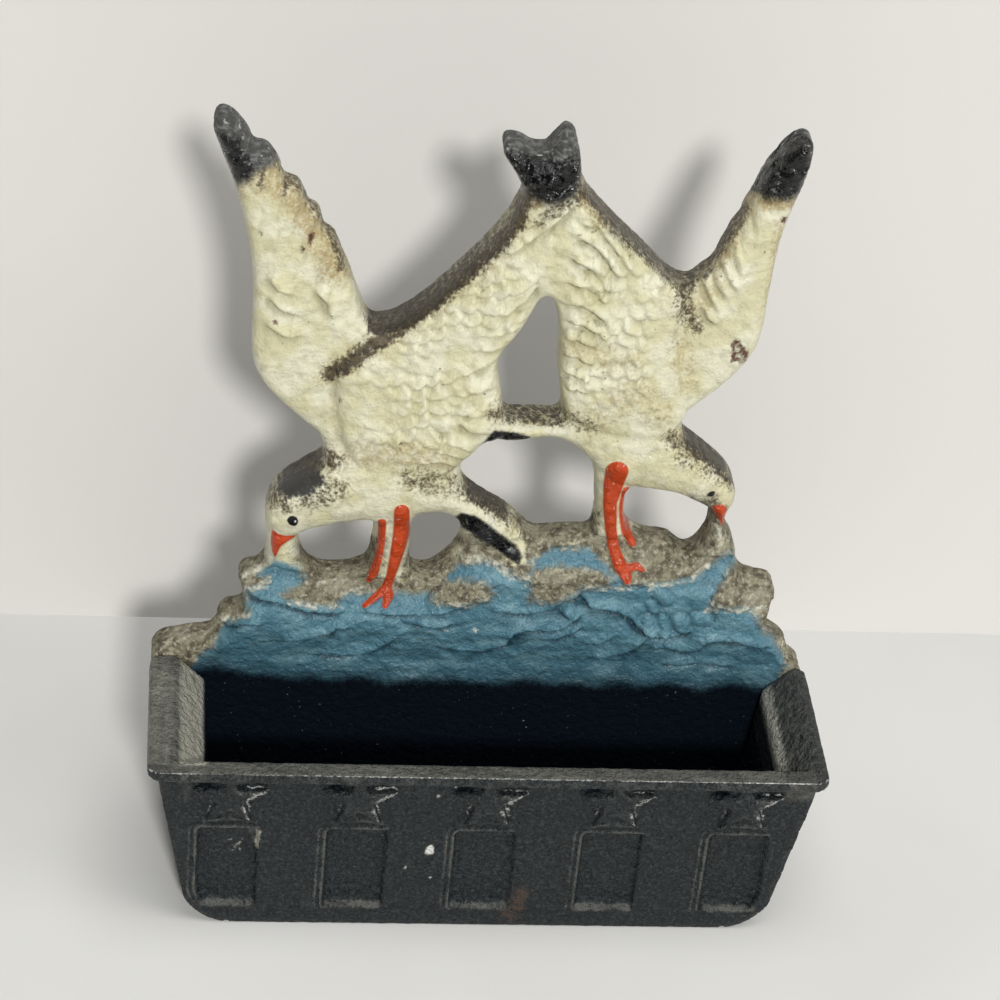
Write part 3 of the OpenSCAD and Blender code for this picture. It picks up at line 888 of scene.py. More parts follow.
BROWN_SPRAYS = tuple(
    Spray(points, width, density)
    for width, density, points in (
        (1.7, 1.0, ((-33, 108), (-30.5, 109.5), (-26, 113.6), (-20, 118.8), (-15, 123.8), (-10, 129),
            (-4, 136), (0, 142), (1, 147))),
        (1.6, 0.85, ((12, 149), (20, 141.4), (26, 135.8), (30, 133.2), (33, 132.6))),
        (1.7, 0.62, ((34, 132), (32.5, 127), (33.5, 123), (35.5, 120.5))),
        (1.5, 0.85, ((36, 135.6), (38, 138), (40, 142), (41.5, 146))),
        (1.6, 0.6, ((-43.6, 81), (-42.4, 78), (-40.5, 77.6))),
        (2.2, 0.5, ((-36, 78.6), (-33, 80), (-30.5, 81.8))),
        (2.0, 0.72, ((-40, 86), (-36, 88), (-33, 89.6), (-31.5, 88))),
        (2.0, 0.7, ((34, 95), (38, 93), (42, 90.8), (45, 88.6), (46.6, 86))),
        (2.2, 0.4, ((37, 90.6), (41, 89), (44.5, 87))),
        (2.6, 0.45, ((-16, 84.4), (-8, 83.6), (0, 79.6), (6, 74))),
        (2.4, 0.55, ((0, 100.4), (6, 100), (11, 99.6))),
        (1.8, 0.4, ((12, 99.4), (18, 97.6))),
        (1.2, 0.5, ((4, 142), (8, 145), (11, 147))),
        (1.0, 0.62, ((-32, 131), (-34.5, 139), (-40, 147.5), (-45, 153))),
        (0.7, 0.6, ((-42.5, 152), (-43.4, 146))),
        (0.6, 0.7, ((-47.3, 154), (-47.7, 147.5))),
    )
)
GOLD_SPRAYS = tuple(
    Spray(points, width, density)
    for width, density, points in (
        (3.6, 0.65, ((-46, 151), (-40, 145), (-36, 138), (-33, 131))),
        (2.4, 0.4, ((-51, 147), (-44, 148.5))),
        (1.8, 0.6, ((-3, 147.5), (3, 145.5))),
        (2.2, 0.7, ((11.6, 153), (13, 147.5), (17, 143))),
        (3.0, 0.7, ((42, 149), (40, 143), (37, 135))),
        (1.6, 0.7, ((51, 148), (46, 147.4))),
        (1.2, 0.4, ((49.2, 143), (49.2, 125))),
        (3.0, 0.35, ((31, 128), (34, 121), (38, 132))),
        (3.0, 0.3, ((24, 111), (13, 115))),
        (3.6, 0.3, ((20, 100), (26, 106), (30, 101))),
        (3.0, 0.4, ((-27, 90), (-20, 90), (-12, 90))),
        (1.0, 0.15, ((-33, 112), (-32, 100), (-29.4, 89))),
        (2.4, 0.35, ((35, 128), (33, 118), (35, 108))),
    )
)
CREST_PATCHES = (
    ((-72, 34), (-72, 53), (-53, 51), (-52.5, 47), (-53, 44), (-57, 41.5), (-58, 39), (-57, 34)),
    ((-56, 50.5), (-56, 58), (-47.5, 57.4), (-47, 54), (-46.5, 51.8), (-48, 50.4), (-51, 49.9)),
    ((-53, 58), (-52, 69), (-44, 68), (-43.4, 64), (-44.8, 62.4), (-47.5, 61.3), (-43.5, 61.2), (-42.4, 60),
        (-43.5, 58.7), (-46.5, 57.6)),
    ((-36.5, 71), (-38.5, 67), (-37, 62.6), (-35.8, 60), (-38.6, 58.4), (-40.2, 56.5), (-39.6, 55.2),
        (-36, 54.2), (-30, 53.6), (-28.5, 55), (-27.5, 57), (-24, 58), (-21, 60), (-20, 71)),
    ((-17, 68), (-16.4, 60), (-13.4, 58), (-10.4, 60), (-8.6, 63), (-7.6, 66), (-6, 70), (-7, 72)),
    ((-10.5, 58.5), (-8, 61), (-4, 61), (0, 60.5), (2, 58), (1, 56), (-3, 55), (-8, 54.6), (-10.5, 56)),
    ((-7, 71), (-5, 68), (0, 66.6), (5, 62.6), (8, 61), (9.4, 64), (8.4, 67), (10, 68.8), (16, 70),
        (21, 71.6), (21, 78), (6, 78)),
    ((8.6, 61), (9, 64), (14, 65), (19, 64.6), (23.5, 63.6), (25, 62), (25, 60.2), (19, 59.2), (17, 57.4),
        (13, 55.4), (9, 56)),
    ((29, 78), (27.6, 72), (29, 68), (30.5, 64), (26.5, 60.6), (31, 60.6), (36, 62), (40, 63.4), (43, 66.4),
        (45, 70), (48.6, 76), (44, 82), (38, 82)),
    ((49.6, 69), (60, 69), (61, 60), (57, 56), (52, 55.2), (45, 55.4), (45.5, 58), (47, 62), (48.4, 66)),
    ((54.5, 55), (64, 55), (64.5, 47.4), (60, 47.6), (57, 50), (55, 52.4)),
    ((61.5, 46.6), (72, 47), (72, 34), (60.6, 34), (62, 42)),
    ((43.8, 67), (45, 70), (48.6, 76), (50.5, 72), (49.8, 69), (47.4, 68.6)),
)
LEFT_TAIL = (
    (-12, 84), (-3, 82.5), (3.5, 77), (7, 70), (7.4, 65.5), (5.4, 64.6), (2, 68), (-3, 72), (-8, 74.6),
    (-12, 77),
)
WATER_LINE = (
    (-70, 30), (-58, 38), (-52, 48), (-46, 60), (-42, 65), (-36, 63), (-30, 57), (-10, 57.5), (-6, 64.5),
    (0, 65.5), (5, 63), (9, 66), (12, 69), (20, 69), (25, 63.5), (29, 60.5), (36, 61), (42, 63),
    (47, 69), (50, 69), (53, 56), (58, 50), (61.5, 44), (66, 34),
)
FOAM_AND_GLINT_SPRAYS = tuple(
    Spray(points, width, density)
    for width, density, points in (
        (0.55, 0.9, ((-48.6, 60.8), (-46, 61.8), (-44, 63.4))),
        (0.6, 0.8, ((-48, 57.8), (-45, 58.4), (-42.6, 60))),
        (0.6, 0.9, ((-51.5, 50.6), (-49, 50.6), (-47, 51.6))),
        (0.6, 0.75, ((-38.5, 54.8), (-34, 53.9), (-28.4, 54))),
        (0.5, 0.8, ((-33, 59.6), (-29.6, 60.2))),
        (0.5, 0.8, ((-26.5, 57.4), (-24.6, 58.8))),
        (0.5, 0.6, ((-9, 54.9), (-2, 54.9))),
        (0.9, 0.7, ((-7, 67.5), (0, 65.8), (5, 62), (8, 60.6))),
        (0.4, 0.8, ((-1, 76.2), (3, 72.4), (6.4, 68))),
        (0.6, 0.85, ((0, 97), (6, 96.8), (14, 95.9))),
        (0.6, 0.85, ((32.5, 60.6), (37, 61.6), (41, 62.8), (44, 66))),
        (0.55, 0.9, ((44, 55), (50, 54.9), (56, 56))),
        (0.7, 1.0, ((44.4, 74.4), (45.6, 72.6))),
        (0.8, 0.7, ((44.6, 76), (44.8, 72.6))),
        (0.7, 0.8, ((-43.6, 70), (-43.2, 66))),
        (1.0, 0.7, ((-38.6, 69), (-38, 66.4))),
        (0.5, 1.0, ((-46.8, 58), (-43, 58.6))),
        (0.5, 0.85, ((20, 59.8), (25, 59.6), (29.5, 60))),
        (0.4, 1.0, ((32.6, 59.4), (34.4, 61))),
        # The last four sprays are painted glints on the sea.
        (0.3, 1.3, ((-1.8, 49.4), (-1.3, 48.7))),
        (0.17, 1.3, ((-11.2, 48.3), (-11, 48))),
        (0.15, 1.3, ((-7.2, 48.8), (-7, 48.5))),
        (0.15, 1.3, ((-17.5, 46.9), (-17.3, 46.7))),
    )
)
RUST_SPOTS = (
    ((42.9, 116.6), (43.6, 117.8), (44.4, 117.6), (45.4, 116.2), (46.4, 115), (46.2, 113.2), (45.2, 112.6),
        (44, 113.2), (43.2, 112.8), (43.2, 114.6)),
    ((31, 117), (32, 116.9), (32.9, 116.6), (32.8, 116.4), (31.9, 116.5)),
    ((-47.7, 138.2), (-47.2, 138), (-46.9, 137.4), (-47.2, 137.3)),
    ((-38.4, 138), (-37.6, 138.2), (-37.5, 136.8), (-38, 135.7), (-38.5, 136.4)),
    ((-39.9, 135.2), (-39.1, 135), (-39, 134.2), (-39.8, 134)),
    ((11.5, 139.8), (12.2, 139.8), (12.3, 139.2), (11.7, 139.2)),
    ((-44, 119.4), (-43.4, 118.4), (-43.8, 118.2), (-44.3, 118.9)),
    ((-31.2, 102.6), (-30.6, 102), (-31, 101.6)),
    ((-19.1, 92.8), (-18.6, 92.8), (-18.6, 92.3), (-19.1, 92.3)),
    ((49.5, 144.6), (50.3, 144.6), (50.1, 143.2), (49.4, 143.6)),
)

SEEN_FROM = (-66.44, -569.94, 463.31)
SEEN_PLANE = 16.5
SEEN_LIFT = 0.2


def seen(places: Array) -> tuple[Array, Array]:
    """Where places appear on the plane of the drawings, seen from the front and above.

    Args:
        places: Points in millimetres.

    Returns:
        Their places across and up the drawing.
    """
    eye = np.array(SEEN_FROM)
    t = (SEEN_PLANE - eye[1]) / (places[:, 1] - eye[1])
    on = eye + (places - eye) * t[:, None]
    return on[:, 0], on[:, 2] + SEEN_LIFT


class PlateOutline:
    """Outline of the plate's flat back, read off its CAD node."""

    def __init__(self, node: Object) -> None:
        """Collects the edges round the back face.

        Args:
            node: CAD node of the plate.
        """
        mesh = node.data
        mesh.calc_loop_triangles()
        corners = np.empty(len(mesh.loop_triangles) * 3, int)
        mesh.loop_triangles.foreach_get("vertices", corners)
        places = vertices_of(mesh)
        self.back_y = float(places[:, 1].max())
        faces = places[corners.reshape(-1, 3)]
        flat = faces[(np.abs(faces[:, :, 1] - self.back_y) < 0.001).all(1)][:, :, (0, 2)]
        keys = [[tuple(np.round(p * 1000).astype(int)) for p in face] for face in flat]
        runs = {(f[i], f[(i + 1) % 3]) for f in keys for i in range(3)}
        rim = [run for run in runs if run[::-1] not in runs]
        self.edges = np.array(sorted(rim), float) / 1000.0

    def depth(self, xs: Array, zs: Array, limit: float) -> Array:
        """Depth of a grid's places inside the outline.

        Args:
            xs: Columns of the grid.
            zs: Rows of the grid.
            limit: Depth past which the count stops.

        Returns:
            Depth of each place, below 0 outside.
        """
        away = np.full((len(zs), len(xs)), limit)
        inside = np.zeros((len(zs), len(xs)), bool)
        for a, b in self.edges:
            low, high = np.minimum(a, b) - limit, np.maximum(a, b) + limit
            i = slice(*np.searchsorted(xs, (low[0], high[0])))
            k = slice(*np.searchsorted(zs, (low[1], high[1])))
            x, z = np.meshgrid(xs[i], zs[k])
            away[k, i] = np.minimum(away[k, i], line_distance(x, z, (a, b))[0])
            rows = np.flatnonzero((a[1] > zs) != (b[1] > zs))
            for row in rows:
                inside[row] ^= xs < a[0] + (zs[row] - a[1]) * (b[0] - a[0]) / (b[1] - a[1])
        return np.where(inside, away, -away)


@dataclass
class BackPlate:
    """Openwork casting of the sea and the two gulls."""

    pitch: float = 0.4
    foot_pitch: float = 1.0
    foot_top: float = 36.0
    edge_round: float = 2.0
    back_round: float = 0.5
    wall_rings: int = 5
    rim_z: float = 42.0
    plate_t: float = 7.0
    edge_t: float = 5.8
    swell: float = 1.7
    swell_reach: float = 6.5
    body_relief: float = 2.6
    step: float = 1.5
    step_round: float = 2.2
    wing_crown: float = 0.9
    crown_reach: float = 9.0
    wing_lift: float = 0.3
    fillet: float = 0.5
    crest_t: float = 5.0
    sea_t: float = 9.5
    swell_h: float = 8.0
    leg_relief: float = 0.9
    leg_round: float = 0.9
    beak_round: float = 1.4
    crest_relief: float = 0.6
    rim_reach: float = 2.6
    scale_row: float = 2.6
    scale_w: float = 4.2
    scale_relief: float = 2.1
    scale_turn_x: float = 8.0
    lump_relief: float = 0.26
    chop_relief: float = 0.4
    wall_rough: float = 0.12
    head_x: float = 30.0
    paint_reach: float = 3.0
    crest: Points = (
        (-66, 40), (-60, 44.5), (-53, 47), (-50, 52), (-48, 60), (-42, 63), (-36, 61.5), (-28, 60.5),
        (-20, 61), (-12, 61), (-4, 69), (6, 71), (14, 71.2), (26, 72), (36, 69.5), (40, 67.5), (48, 68),
        (52, 62), (57, 60), (60, 48), (66, 39),
    )
    bodies: tuple[Points, ...] = (
        ((-39.5, 78, 7, 0.8), (-31, 82, 9, 1), (-20, 83.5, 9, 0.9), (-9, 80, 6, 0.6), (3, 70, 4, 0.3)),
        ((42.5, 84, 6.5, 0.8), (33, 91, 9, 1), (23, 94, 7, 0.8), (12, 95.5, 4, 0.4), (1, 95.6, 3, 0.2)),
    )
    left_wing: Points = (
        (-22, 124), (-28, 116), (-32.5, 111.5), (-32.2, 106), (-31.5, 100), (-30.3, 94), (-28.5, 89),
        (-24, 85.5), (-16, 84.5), (-9, 86.5), (-5, 89.8), (-2, 93), (5, 99), (5, 112), (8, 120), (12, 127),
        (12, 152), (4, 165), (-10, 166), (-30, 140),
    )
    right_wing: Points = (
        (5, 100), (4, 112), (6, 122), (6.6, 128), (6.2, 134), (6, 140), (6.6, 146), (8, 150), (9, 166),
        (20, 160), (38, 134), (34.5, 130.5), (32.5, 125), (32, 119.5), (33, 113), (34.5, 106), (36, 101),
        (34, 97), (28, 95.5), (20, 97), (13, 99.5), (9, 100.5),
    )

    def crest_z(self, x: Array) -> Array:
        """Height of the wave crests at places across the plate."""
        return np.interp(x, *zip(*self.crest))

    def form(self, x: Array, z: Array, depth: Array) -> Array:
        """Smooth thickness of the casting before its carving.

        Args:
            x: Places across.
            z: Places up.
            depth: Their depths inside the outline.

        Returns:
            The thickness at each place.
        """
        pillow = self.swell * dome(depth, self.swell_reach)
        gulls = self.edge_t + pillow
        for line in self.bodies:
            away, passed = line_distance(x, z, line)
            reach, share = (np.interp(passed, np.arange(len(line)), [p[k] for p in line]) for k in (2, 3))
            t = np.clip(away / reach, 0.0, 1.0)
            body = self.edge_t + pillow + self.body_relief * share * np.sqrt(1.0 - t * t)
            gulls = smooth_max(gulls, body, self.fillet)
        for lift, wing in enumerate((self.left_wing, self.right_wing)):
            inset = -patch_distance(x, z, wing)
            over = self.step * dome(inset, self.step_round) + self.wing_crown * dome(inset, self.crown_reach)
            wing_t = np.where(inset > 0.0, self.edge_t + pillow + over + self.wing_lift * lift, 0.0)
            gulls = smooth_max(gulls, wing_t, self.fillet)
        crest = self.crest_z(x)
        down = np.clip((crest - z) / self.swell_h, 0.0, 1.0)
        up = np.clip((z - self.rim_z) / self.swell_h, 0.0, 1.0)
        sea = np.minimum(
            self.crest_t + (self.sea_t - self.crest_t) * down, self.plate_t + (self.sea_t - self.plate_t) * up
        )
        form = gulls + (sea - gulls) * soft_step(crest - z, -1.0, 1.0)
        return np.where(z < self.rim_z, self.plate_t, form)

    def carving(self, x: Array, z: Array) -> Array:
        """Carved detail of the feathers and waves.

        Args:
            x: Places across the drawing.
            z: Places up the drawing.

        Returns:
            How far the surface stands out of its smooth form at each place.
        """
        relief = np.zeros(x.shape)
        for groove in [g for fan in FANS for g in fan.grooves()] + [*RIBS, CREASE, *SEA_WAVES, *SEA_FINGERS]:
            ends = np.array([p[:2] for p in groove.points])
            low, high = ends.min(0) - 5 * groove.width, ends.max(0) + 5 * groove.width
            near = np.flatnonzero((x > low[0]) & (x < high[0]) & (z > low[1]) & (z < high[1]))
            if not len(near):
                continue
            away, passed = line_distance(x[near], z[near], groove.points)
            last = len(groove.points) - 1
            taper = soft_step(np.minimum(passed, last - passed), -0.15, 0.45) if last > 1 else 1.0
            side = line_side(x[near], z[near], groove.points, passed)
            relief[near] += groove.height * taper * groove.profile(side * away)
        wing = soft_step(nearest_patch(x, z, (self.left_wing, self.right_wing)), -2.0, -8.0)
        warp = 1.5 * cast_noise(x, z, 6.0, 11)
        strength = soft_step(cast_noise(x, z, 9.0, 12), -0.8, 0.6)
        relief += wing * self.scale_relief * strength * (self.scales(x + warp, z - warp) - 0.5)
        lumps = cast_noise(x, z, 3.0, 13) + 0.5 * cast_noise(x, z, 1.4, 14)
        return relief + self.lump_relief * lumps

    def scales(self, x: Array, z: Array) -> Array:
        """Overlapping rows of small feathers, each rising to its free edge."""
        turned = np.where(x < self.scale_turn_x, x, -x)
        run = (0.8 * turned - 0.6 * z) / self.scale_row
        across = (0.6 * turned + 0.8 * z) / self.scale_w
        rows = []
        for shift in (0.0, 0.5):
            side = 2.0 * ((across + shift) % 1.0) - 1.0
            t = (run / 2.0 + shift + 0.22 * side**2) % 1.0
            rows.append(soft_step(t, 0.0, 0.75) * soft_step(t, 1.0, 0.75) * (1.0 - 0.6 * side**4))
        return np.maximum(*rows)

    def waves(self, x: Array, z: Array) -> Array:
        """Choppy texture of the sea, longer across than up."""
        bend = 2.2 * cast_noise(x, z, 10.0, 21)
        chop = 1.0 - np.abs(cast_noise(0.45 * x, z + bend, 5.6, 22))
        return self.chop_relief * (chop**2 - 0.5) + 0.02 * cast_noise(0.7 * x, z, 1.6, 23)

    def limbs(self, x: Array, z: Array) -> Array:
        """How far the legs and beaks stand out of what is round them."""
        out = np.zeros(x.shape)
        for leg in LEGS:
            out = np.maximum(out, self.leg_relief * dome(-strip_distance(x, z, leg), self.leg_round))
        for beak in BEAKS:
            out = np.maximum(out, self.leg_relief * dome(-patch_distance(x, z, beak), self.beak_round))
        return out

    def thickness(self, x: Array, z: Array, depth: Array, back_y: float) -> tuple[Array, Array]:
        """Full thickness of the casting.

        Args:
            x: Places across.
            z: Places up.
            depth: Their depths inside the outline.
            back_y: Place of the flat back.

        Returns:
            The thickness at each place, and how deep it is carved there.
        """
        form = self.form(x, z, depth)
        px, pz = seen(np.stack([x, back_y - form, z], 1))
        crest = self.crest_z(x)
        sea = soft_step(crest - z, -1.0, 2.0)
        lumps = nearest_patch(px, pz, CREST_PATCHES)
        water = self.waves(px, pz) + self.crest_relief * soft_step(lumps, 0.6, -0.8)
        detail = self.carving(px, pz) + sea * water + self.limbs(px, pz)
        clear = np.maximum(soft_step(z, self.rim_z - 1.0, self.rim_z + 1.0), soft_step(np.abs(x), 56.0, 52.0))
        detail *= clear * soft_step(z, self.foot_top - 2.0, self.foot_top + 1.0) * soft_step(depth, -0.5, 1.5)
        round_off = self.edge_round * (1.0 - dome(np.maximum(depth, 0.0), self.edge_round))
        thick = form + detail - round_off * soft_step(z, self.foot_top, self.rim_z)
        return thick, np.clip(-detail, 0.0, 1.5)

    def build(self, outline: PlateOutline) -> Object:
        """Makes the casting as one closed mesh.

        Args:
            outline: Outline of its back.

        Returns:
            The new object.
        """
        low, high = outline.edges.min((0, 1)), outline.edges.max((0, 1))
        xs = np.arange(low[0] - self.pitch, high[0] + 2 * self.pitch, self.pitch)
        foot = np.arange(-0.5, self.foot_top, self.foot_pitch)
        zs = np.concatenate([foot, np.arange(self.foot_top, high[1] + 2 * self.pitch, self.pitch)])
        depth = outline.depth(xs, zs, limit=12.0)
        near = depth > -0.5 * self.pitch
        quads = near[:-1, :-1] & near[1:, :-1] & near[:-1, 1:] & near[1:, 1:]
        used = np.zeros(near.shape, int)
        for dk in (0, 1):
            for di in (0, 1):
                used[dk : dk + quads.shape[0], di : di + quads.shape[1]] += quads
        kept = used > 0
        number = np.full(near.shape, -1)
        number[kept] = np.arange(kept.sum())
        rows, cols = np.nonzero(kept)
        x, z = xs[cols], zs[rows]
        at = depth[rows, cols]
        slope_z, slope_x = np.gradient(depth, zs, xs)
        steep = np.hypot(slope_x, slope_z) + 1e-9
        on_edge = used[rows, cols] < 4
        push_x = (slope_x / steep)[rows, cols]
        push_z = (slope_z / steep)[rows, cols]
        x = np.where(on_edge, x - at * push_x, x)
        z = np.where(on_edge, z - at * push_z, z)
        z = np.clip(z, low[1], high[1])
        at = np.where(on_edge, 0.0, at)
        thick, cut = self.thickness(x, z, at, outline.back_y)
        front = np.stack([x, outline.back_y - thick, z], 1)
        k, i = np.nonzero(quads)
        faces = np.stack([number[k, i], number[k, i + 1], number[k + 1, i + 1], number[k + 1, i]], 1)
        obj = self.close(front, faces, np.stack([push_x, push_z], 1), outline.back_y)
        rest = len(obj.data.vertices) - len(cut)
        put_field(obj.data, "cut", np.concatenate([cut, np.zeros(rest)]))
        put_field(obj.data, "rim", np.concatenate([soft_step(at, self.rim_reach, 0.0), np.ones(rest)]))
        return obj

    def close(self, front: Array, faces: Array, inward: Array, back_y: float) -> Object:
        """Adds the side walls and the back to the front skin.

        Args:
            front: Vertices of the front.
            faces: Quads of the front.
            inward: Direction across the plate, away from its edge, at each vertex.
            back_y: Place of the flat back.

        Returns:
            The closed object.
        """
        runs = np.concatenate([faces[:, (i, (i + 1) % 4)] for i in range(4)])
        known = set(map(tuple, runs))
        rim = np.array([run for run in map(tuple, runs) if run[::-1] not in known])
        edge = np.unique(rim)
        slot_of = np.full(len(front), -1)
        slot_of[edge] = np.arange(len(edge))
        rings = [edge]
        layers = [front]
        count = len(front)
        start = front[edge]
        rough = self.wall_rough * (1.0 + cast_noise(start[:, 0] * 3, start[:, 2] * 3, 3.0, 31))
        for n in range(1, self.wall_rings + 2):
            ring = start.copy()
            last = n == self.wall_rings + 1
            share = min(n / self.wall_rings, 1.0)
            ring[:, 1] = start[:, 1] + (back_y - self.back_round - start[:, 1]) * share
            wave = rough * (0.6 + 0.4 * np.sin(2.3 * n + start[:, 0] + start[:, 2]))
            step = self.back_round if last else wave
            ring[:, (0, 2)] += inward[edge] * np.reshape(step, (-1, 1))
            if last:
                ring[:, 1] = back_y
            layers.append(ring)
            rings.append(count + np.arange(len(edge)))
            count += len(edge)
        walls = []
        for upper, lower in zip(rings[:-1], rings[1:]):
            a, b = slot_of[rim[:, 0]], slot_of[rim[:, 1]]
            walls.append(np.stack([upper[b], upper[a], lower[a], lower[b]], 1))
        places = np.concatenate(layers)
        mesh = bpy.data.meshes.new("gull_plate")
        mesh.from_pydata(places * MM, [], np.concatenate([faces, *walls]).tolist())
        with edited(mesh) as work:
            open_edges = [e for e in work.edges if e.is_boundary]
            bmesh.ops.triangle_fill(work, use_beauty=True, edges=open_edges)
            bmesh.ops.recalc_face_normals(work, faces=work.faces)
        obj = new_object("gull_plate", mesh)
        facing = np.empty(3 * len(mesh.polygons))
        mesh.polygons.foreach_get("normal", facing)
        mesh.polygons.foreach_set("use_smooth", facing[1::3] < 0.99)
        return obj

    def paint(self, obj: Object) -> None:
        """Stores the painted fields on the closed casting."""
        mesh = obj.data
        places, normals = vertices_of(mesh), normals_of(mesh)
        above = places[:, 2] - self.crest_z(places[:, 0])
        x, z = seen(places)
        fields = self.gull_fields(x, z, normals, above) | self.sea_fields(x, z, normals, above)
        for name, values in fields.items():
            put_field(mesh, name, values)

    def gull_fields(self, x: Array, z: Array, normals: Array, above: Array) -> dict[str, Array]:
        """Painted fields of the gulls and of the bare back.

        Args:
            x: Places across the drawing.
            z: Places up the drawing.
            normals: Normals there.
            above: Heights over the wave crests.

        Returns:
            The fields by name.
        """
        facing = normals[:, 1]
        legs = np.minimum.reduce([strip_distance(x, z, leg) for leg in LEGS])
        limbs = np.minimum(legs, nearest_patch(x, z, BEAKS))
        limbs += 4.0 * soft_step(facing, -0.35, 0.0) * (np.abs(x) > self.head_x)
        far = self.paint_reach
        tips, tails = nearest_patch(x, z, BLACK_PATCHES[:3]), nearest_patch(x, z, BLACK_PATCHES[3:])
        up = soft_step(facing, -0.7, -0.4) * soft_step(normals[:, 2], 0.3, 0.8) * soft_step(above, 3.0, 6.0)
        outer = soft_step(x, -27.0, -30.0) * soft_step(z, 112.0, 118.0)
        right = soft_step(x, 10.0, 14.0) * soft_step(z, 104.0, 108.0)
        bridge = soft_step(np.abs(x - 5.0), 10.0, 7.0) * soft_step(np.abs(z - 100.0), 6.0, 3.0)
        dry_left = np.where(x < -30.0, soft_step(patch_distance(x, z, WET_LEFT), -1.6, 1.6), 0.0)
        halo = 0.5 * self.sprayed(x, z, BROWN_SPRAYS, 1.7)
        spots = nearest_patch(x, z, RUST_SPOTS)
        ring = soft_step(patch_distance(x, z, RUST_SPOTS[0]), -1.6, -0.5)
        return {
            "back": soft_step(facing, 0.2, 0.9),
            "orange": np.clip(limbs, -far, far),
            "eye": np.clip(nearest_patch(x, z, EYES), -far, far),
            "glint": np.clip(patch_distance(x, z, GLINT), -far, far),
            "black": np.maximum(soft_step(tips, 2.2, -1.2), soft_step(tails, 0.5, -0.5)),
            "cap": 1.3 * soft_step(patch_distance(x, z, CAP), 1.6, -2.2),
            "brown": self.sprayed(x, z, BROWN_SPRAYS),
            "wall": up * (0.95 - 0.75 * outer - 0.25 * right - 0.35 * bridge),
            "dry": np.maximum(dry_left, soft_step(patch_distance(x, z, DRY_MIDDLE), 1.4, -1.4)),
            "gold": np.maximum(self.sprayed(x, z, GOLD_SPRAYS), halo),
            "rust": 0.9 * soft_step(spots, 0.4, -0.3) * np.maximum(0.55, np.maximum(ring, spots > -0.4)),
        }

    def sea_fields(self, x: Array, z: Array, normals: Array, above: Array) -> dict[str, Array]:
        """Painted fields of the sea and its crests.

        Args:
            x: Places across the drawing.
            z: Places up the drawing.
            normals: Normals there.
            above: Heights over the wave crests.

        Returns:
            The fields by name.
        """
        tail = patch_distance(x, z, LEFT_TAIL)
        tan = nearest_patch(x, z, CREST_PATCHES)
        shore = soft_step(1.5 * cast_noise(x, z, 3.0, 44) - above, -1.2, 1.6)
        lumps = soft_step(tan + 0.8 * cast_noise(x, z, 2.0, 45), 1.5, -1.5)
        blue = np.maximum.reduce([z - np.interp(x, *zip(*WATER_LINE)), -tan, -tail])
        level = z - 2.6 * soft_step(x, -30.0, -56.0) + 1.2 * cast_noise(x, z, 7.0, 43)
        deep = soft_step(level, 39.2, 34.2)
        edge = bell(blue - 0.3, 0.6) * soft_step(cast_noise(x, z, 2.4, 42), -0.2, 0.5)
        far = 2.0 * self.paint_reach
        return {
            "crest": np.maximum(shore, lumps) * soft_step(tail, -0.3, 0.5),
            "blue": np.clip(blue, -far, far),
            "deep": deep,
            "foot": np.where(normals[:, 1] > 0.2, 0.0, deep),
            "dim": 0.6 * soft_step(level, 43.5, 37.0),
            # White water along the sprays and the water's edge; some sprays are painted glints.
            "foam_and_glint": np.maximum(0.55 * self.sprayed(x, z, FOAM_AND_GLINT_SPRAYS), 0.25 * edge),
        }

    def sprayed(self, x: Array, z: Array, sprays: Sequence[Spray], spread: float = 1.0) -> Array:
        """Density of a set of sprays at places of the drawing.

        Args:
            x: Places across the drawing.
            z: Places up the drawing.
            sprays: The sprays.
            spread: How many times wider they are laid.

        Returns:
            The density at each place.
        """
        density = np.zeros(x.shape)
        for spray in sprays:
            away, _ = line_distance(x, z, spray.points)
            fade = soft_step(away, 1.7 * spread * spray.width, 0.3 * spray.width)
            density = np.maximum(density, spray.density * fade)
        return density

    def make(self, node: Object) -> None:
        """Builds, paints and hands over the casting.

        Args:
            node: CAD node that it stands for.
        """
        obj = self.build(PlateOutline(node))
        self.paint(obj)
        paint = PlatePaint()
        dress(obj, paint.material("plate_paint", shine=0.4), paint.material("plate_foot", shine=0.05), "foot")
        hand_over(obj, "back_plate")


# Rows of copies


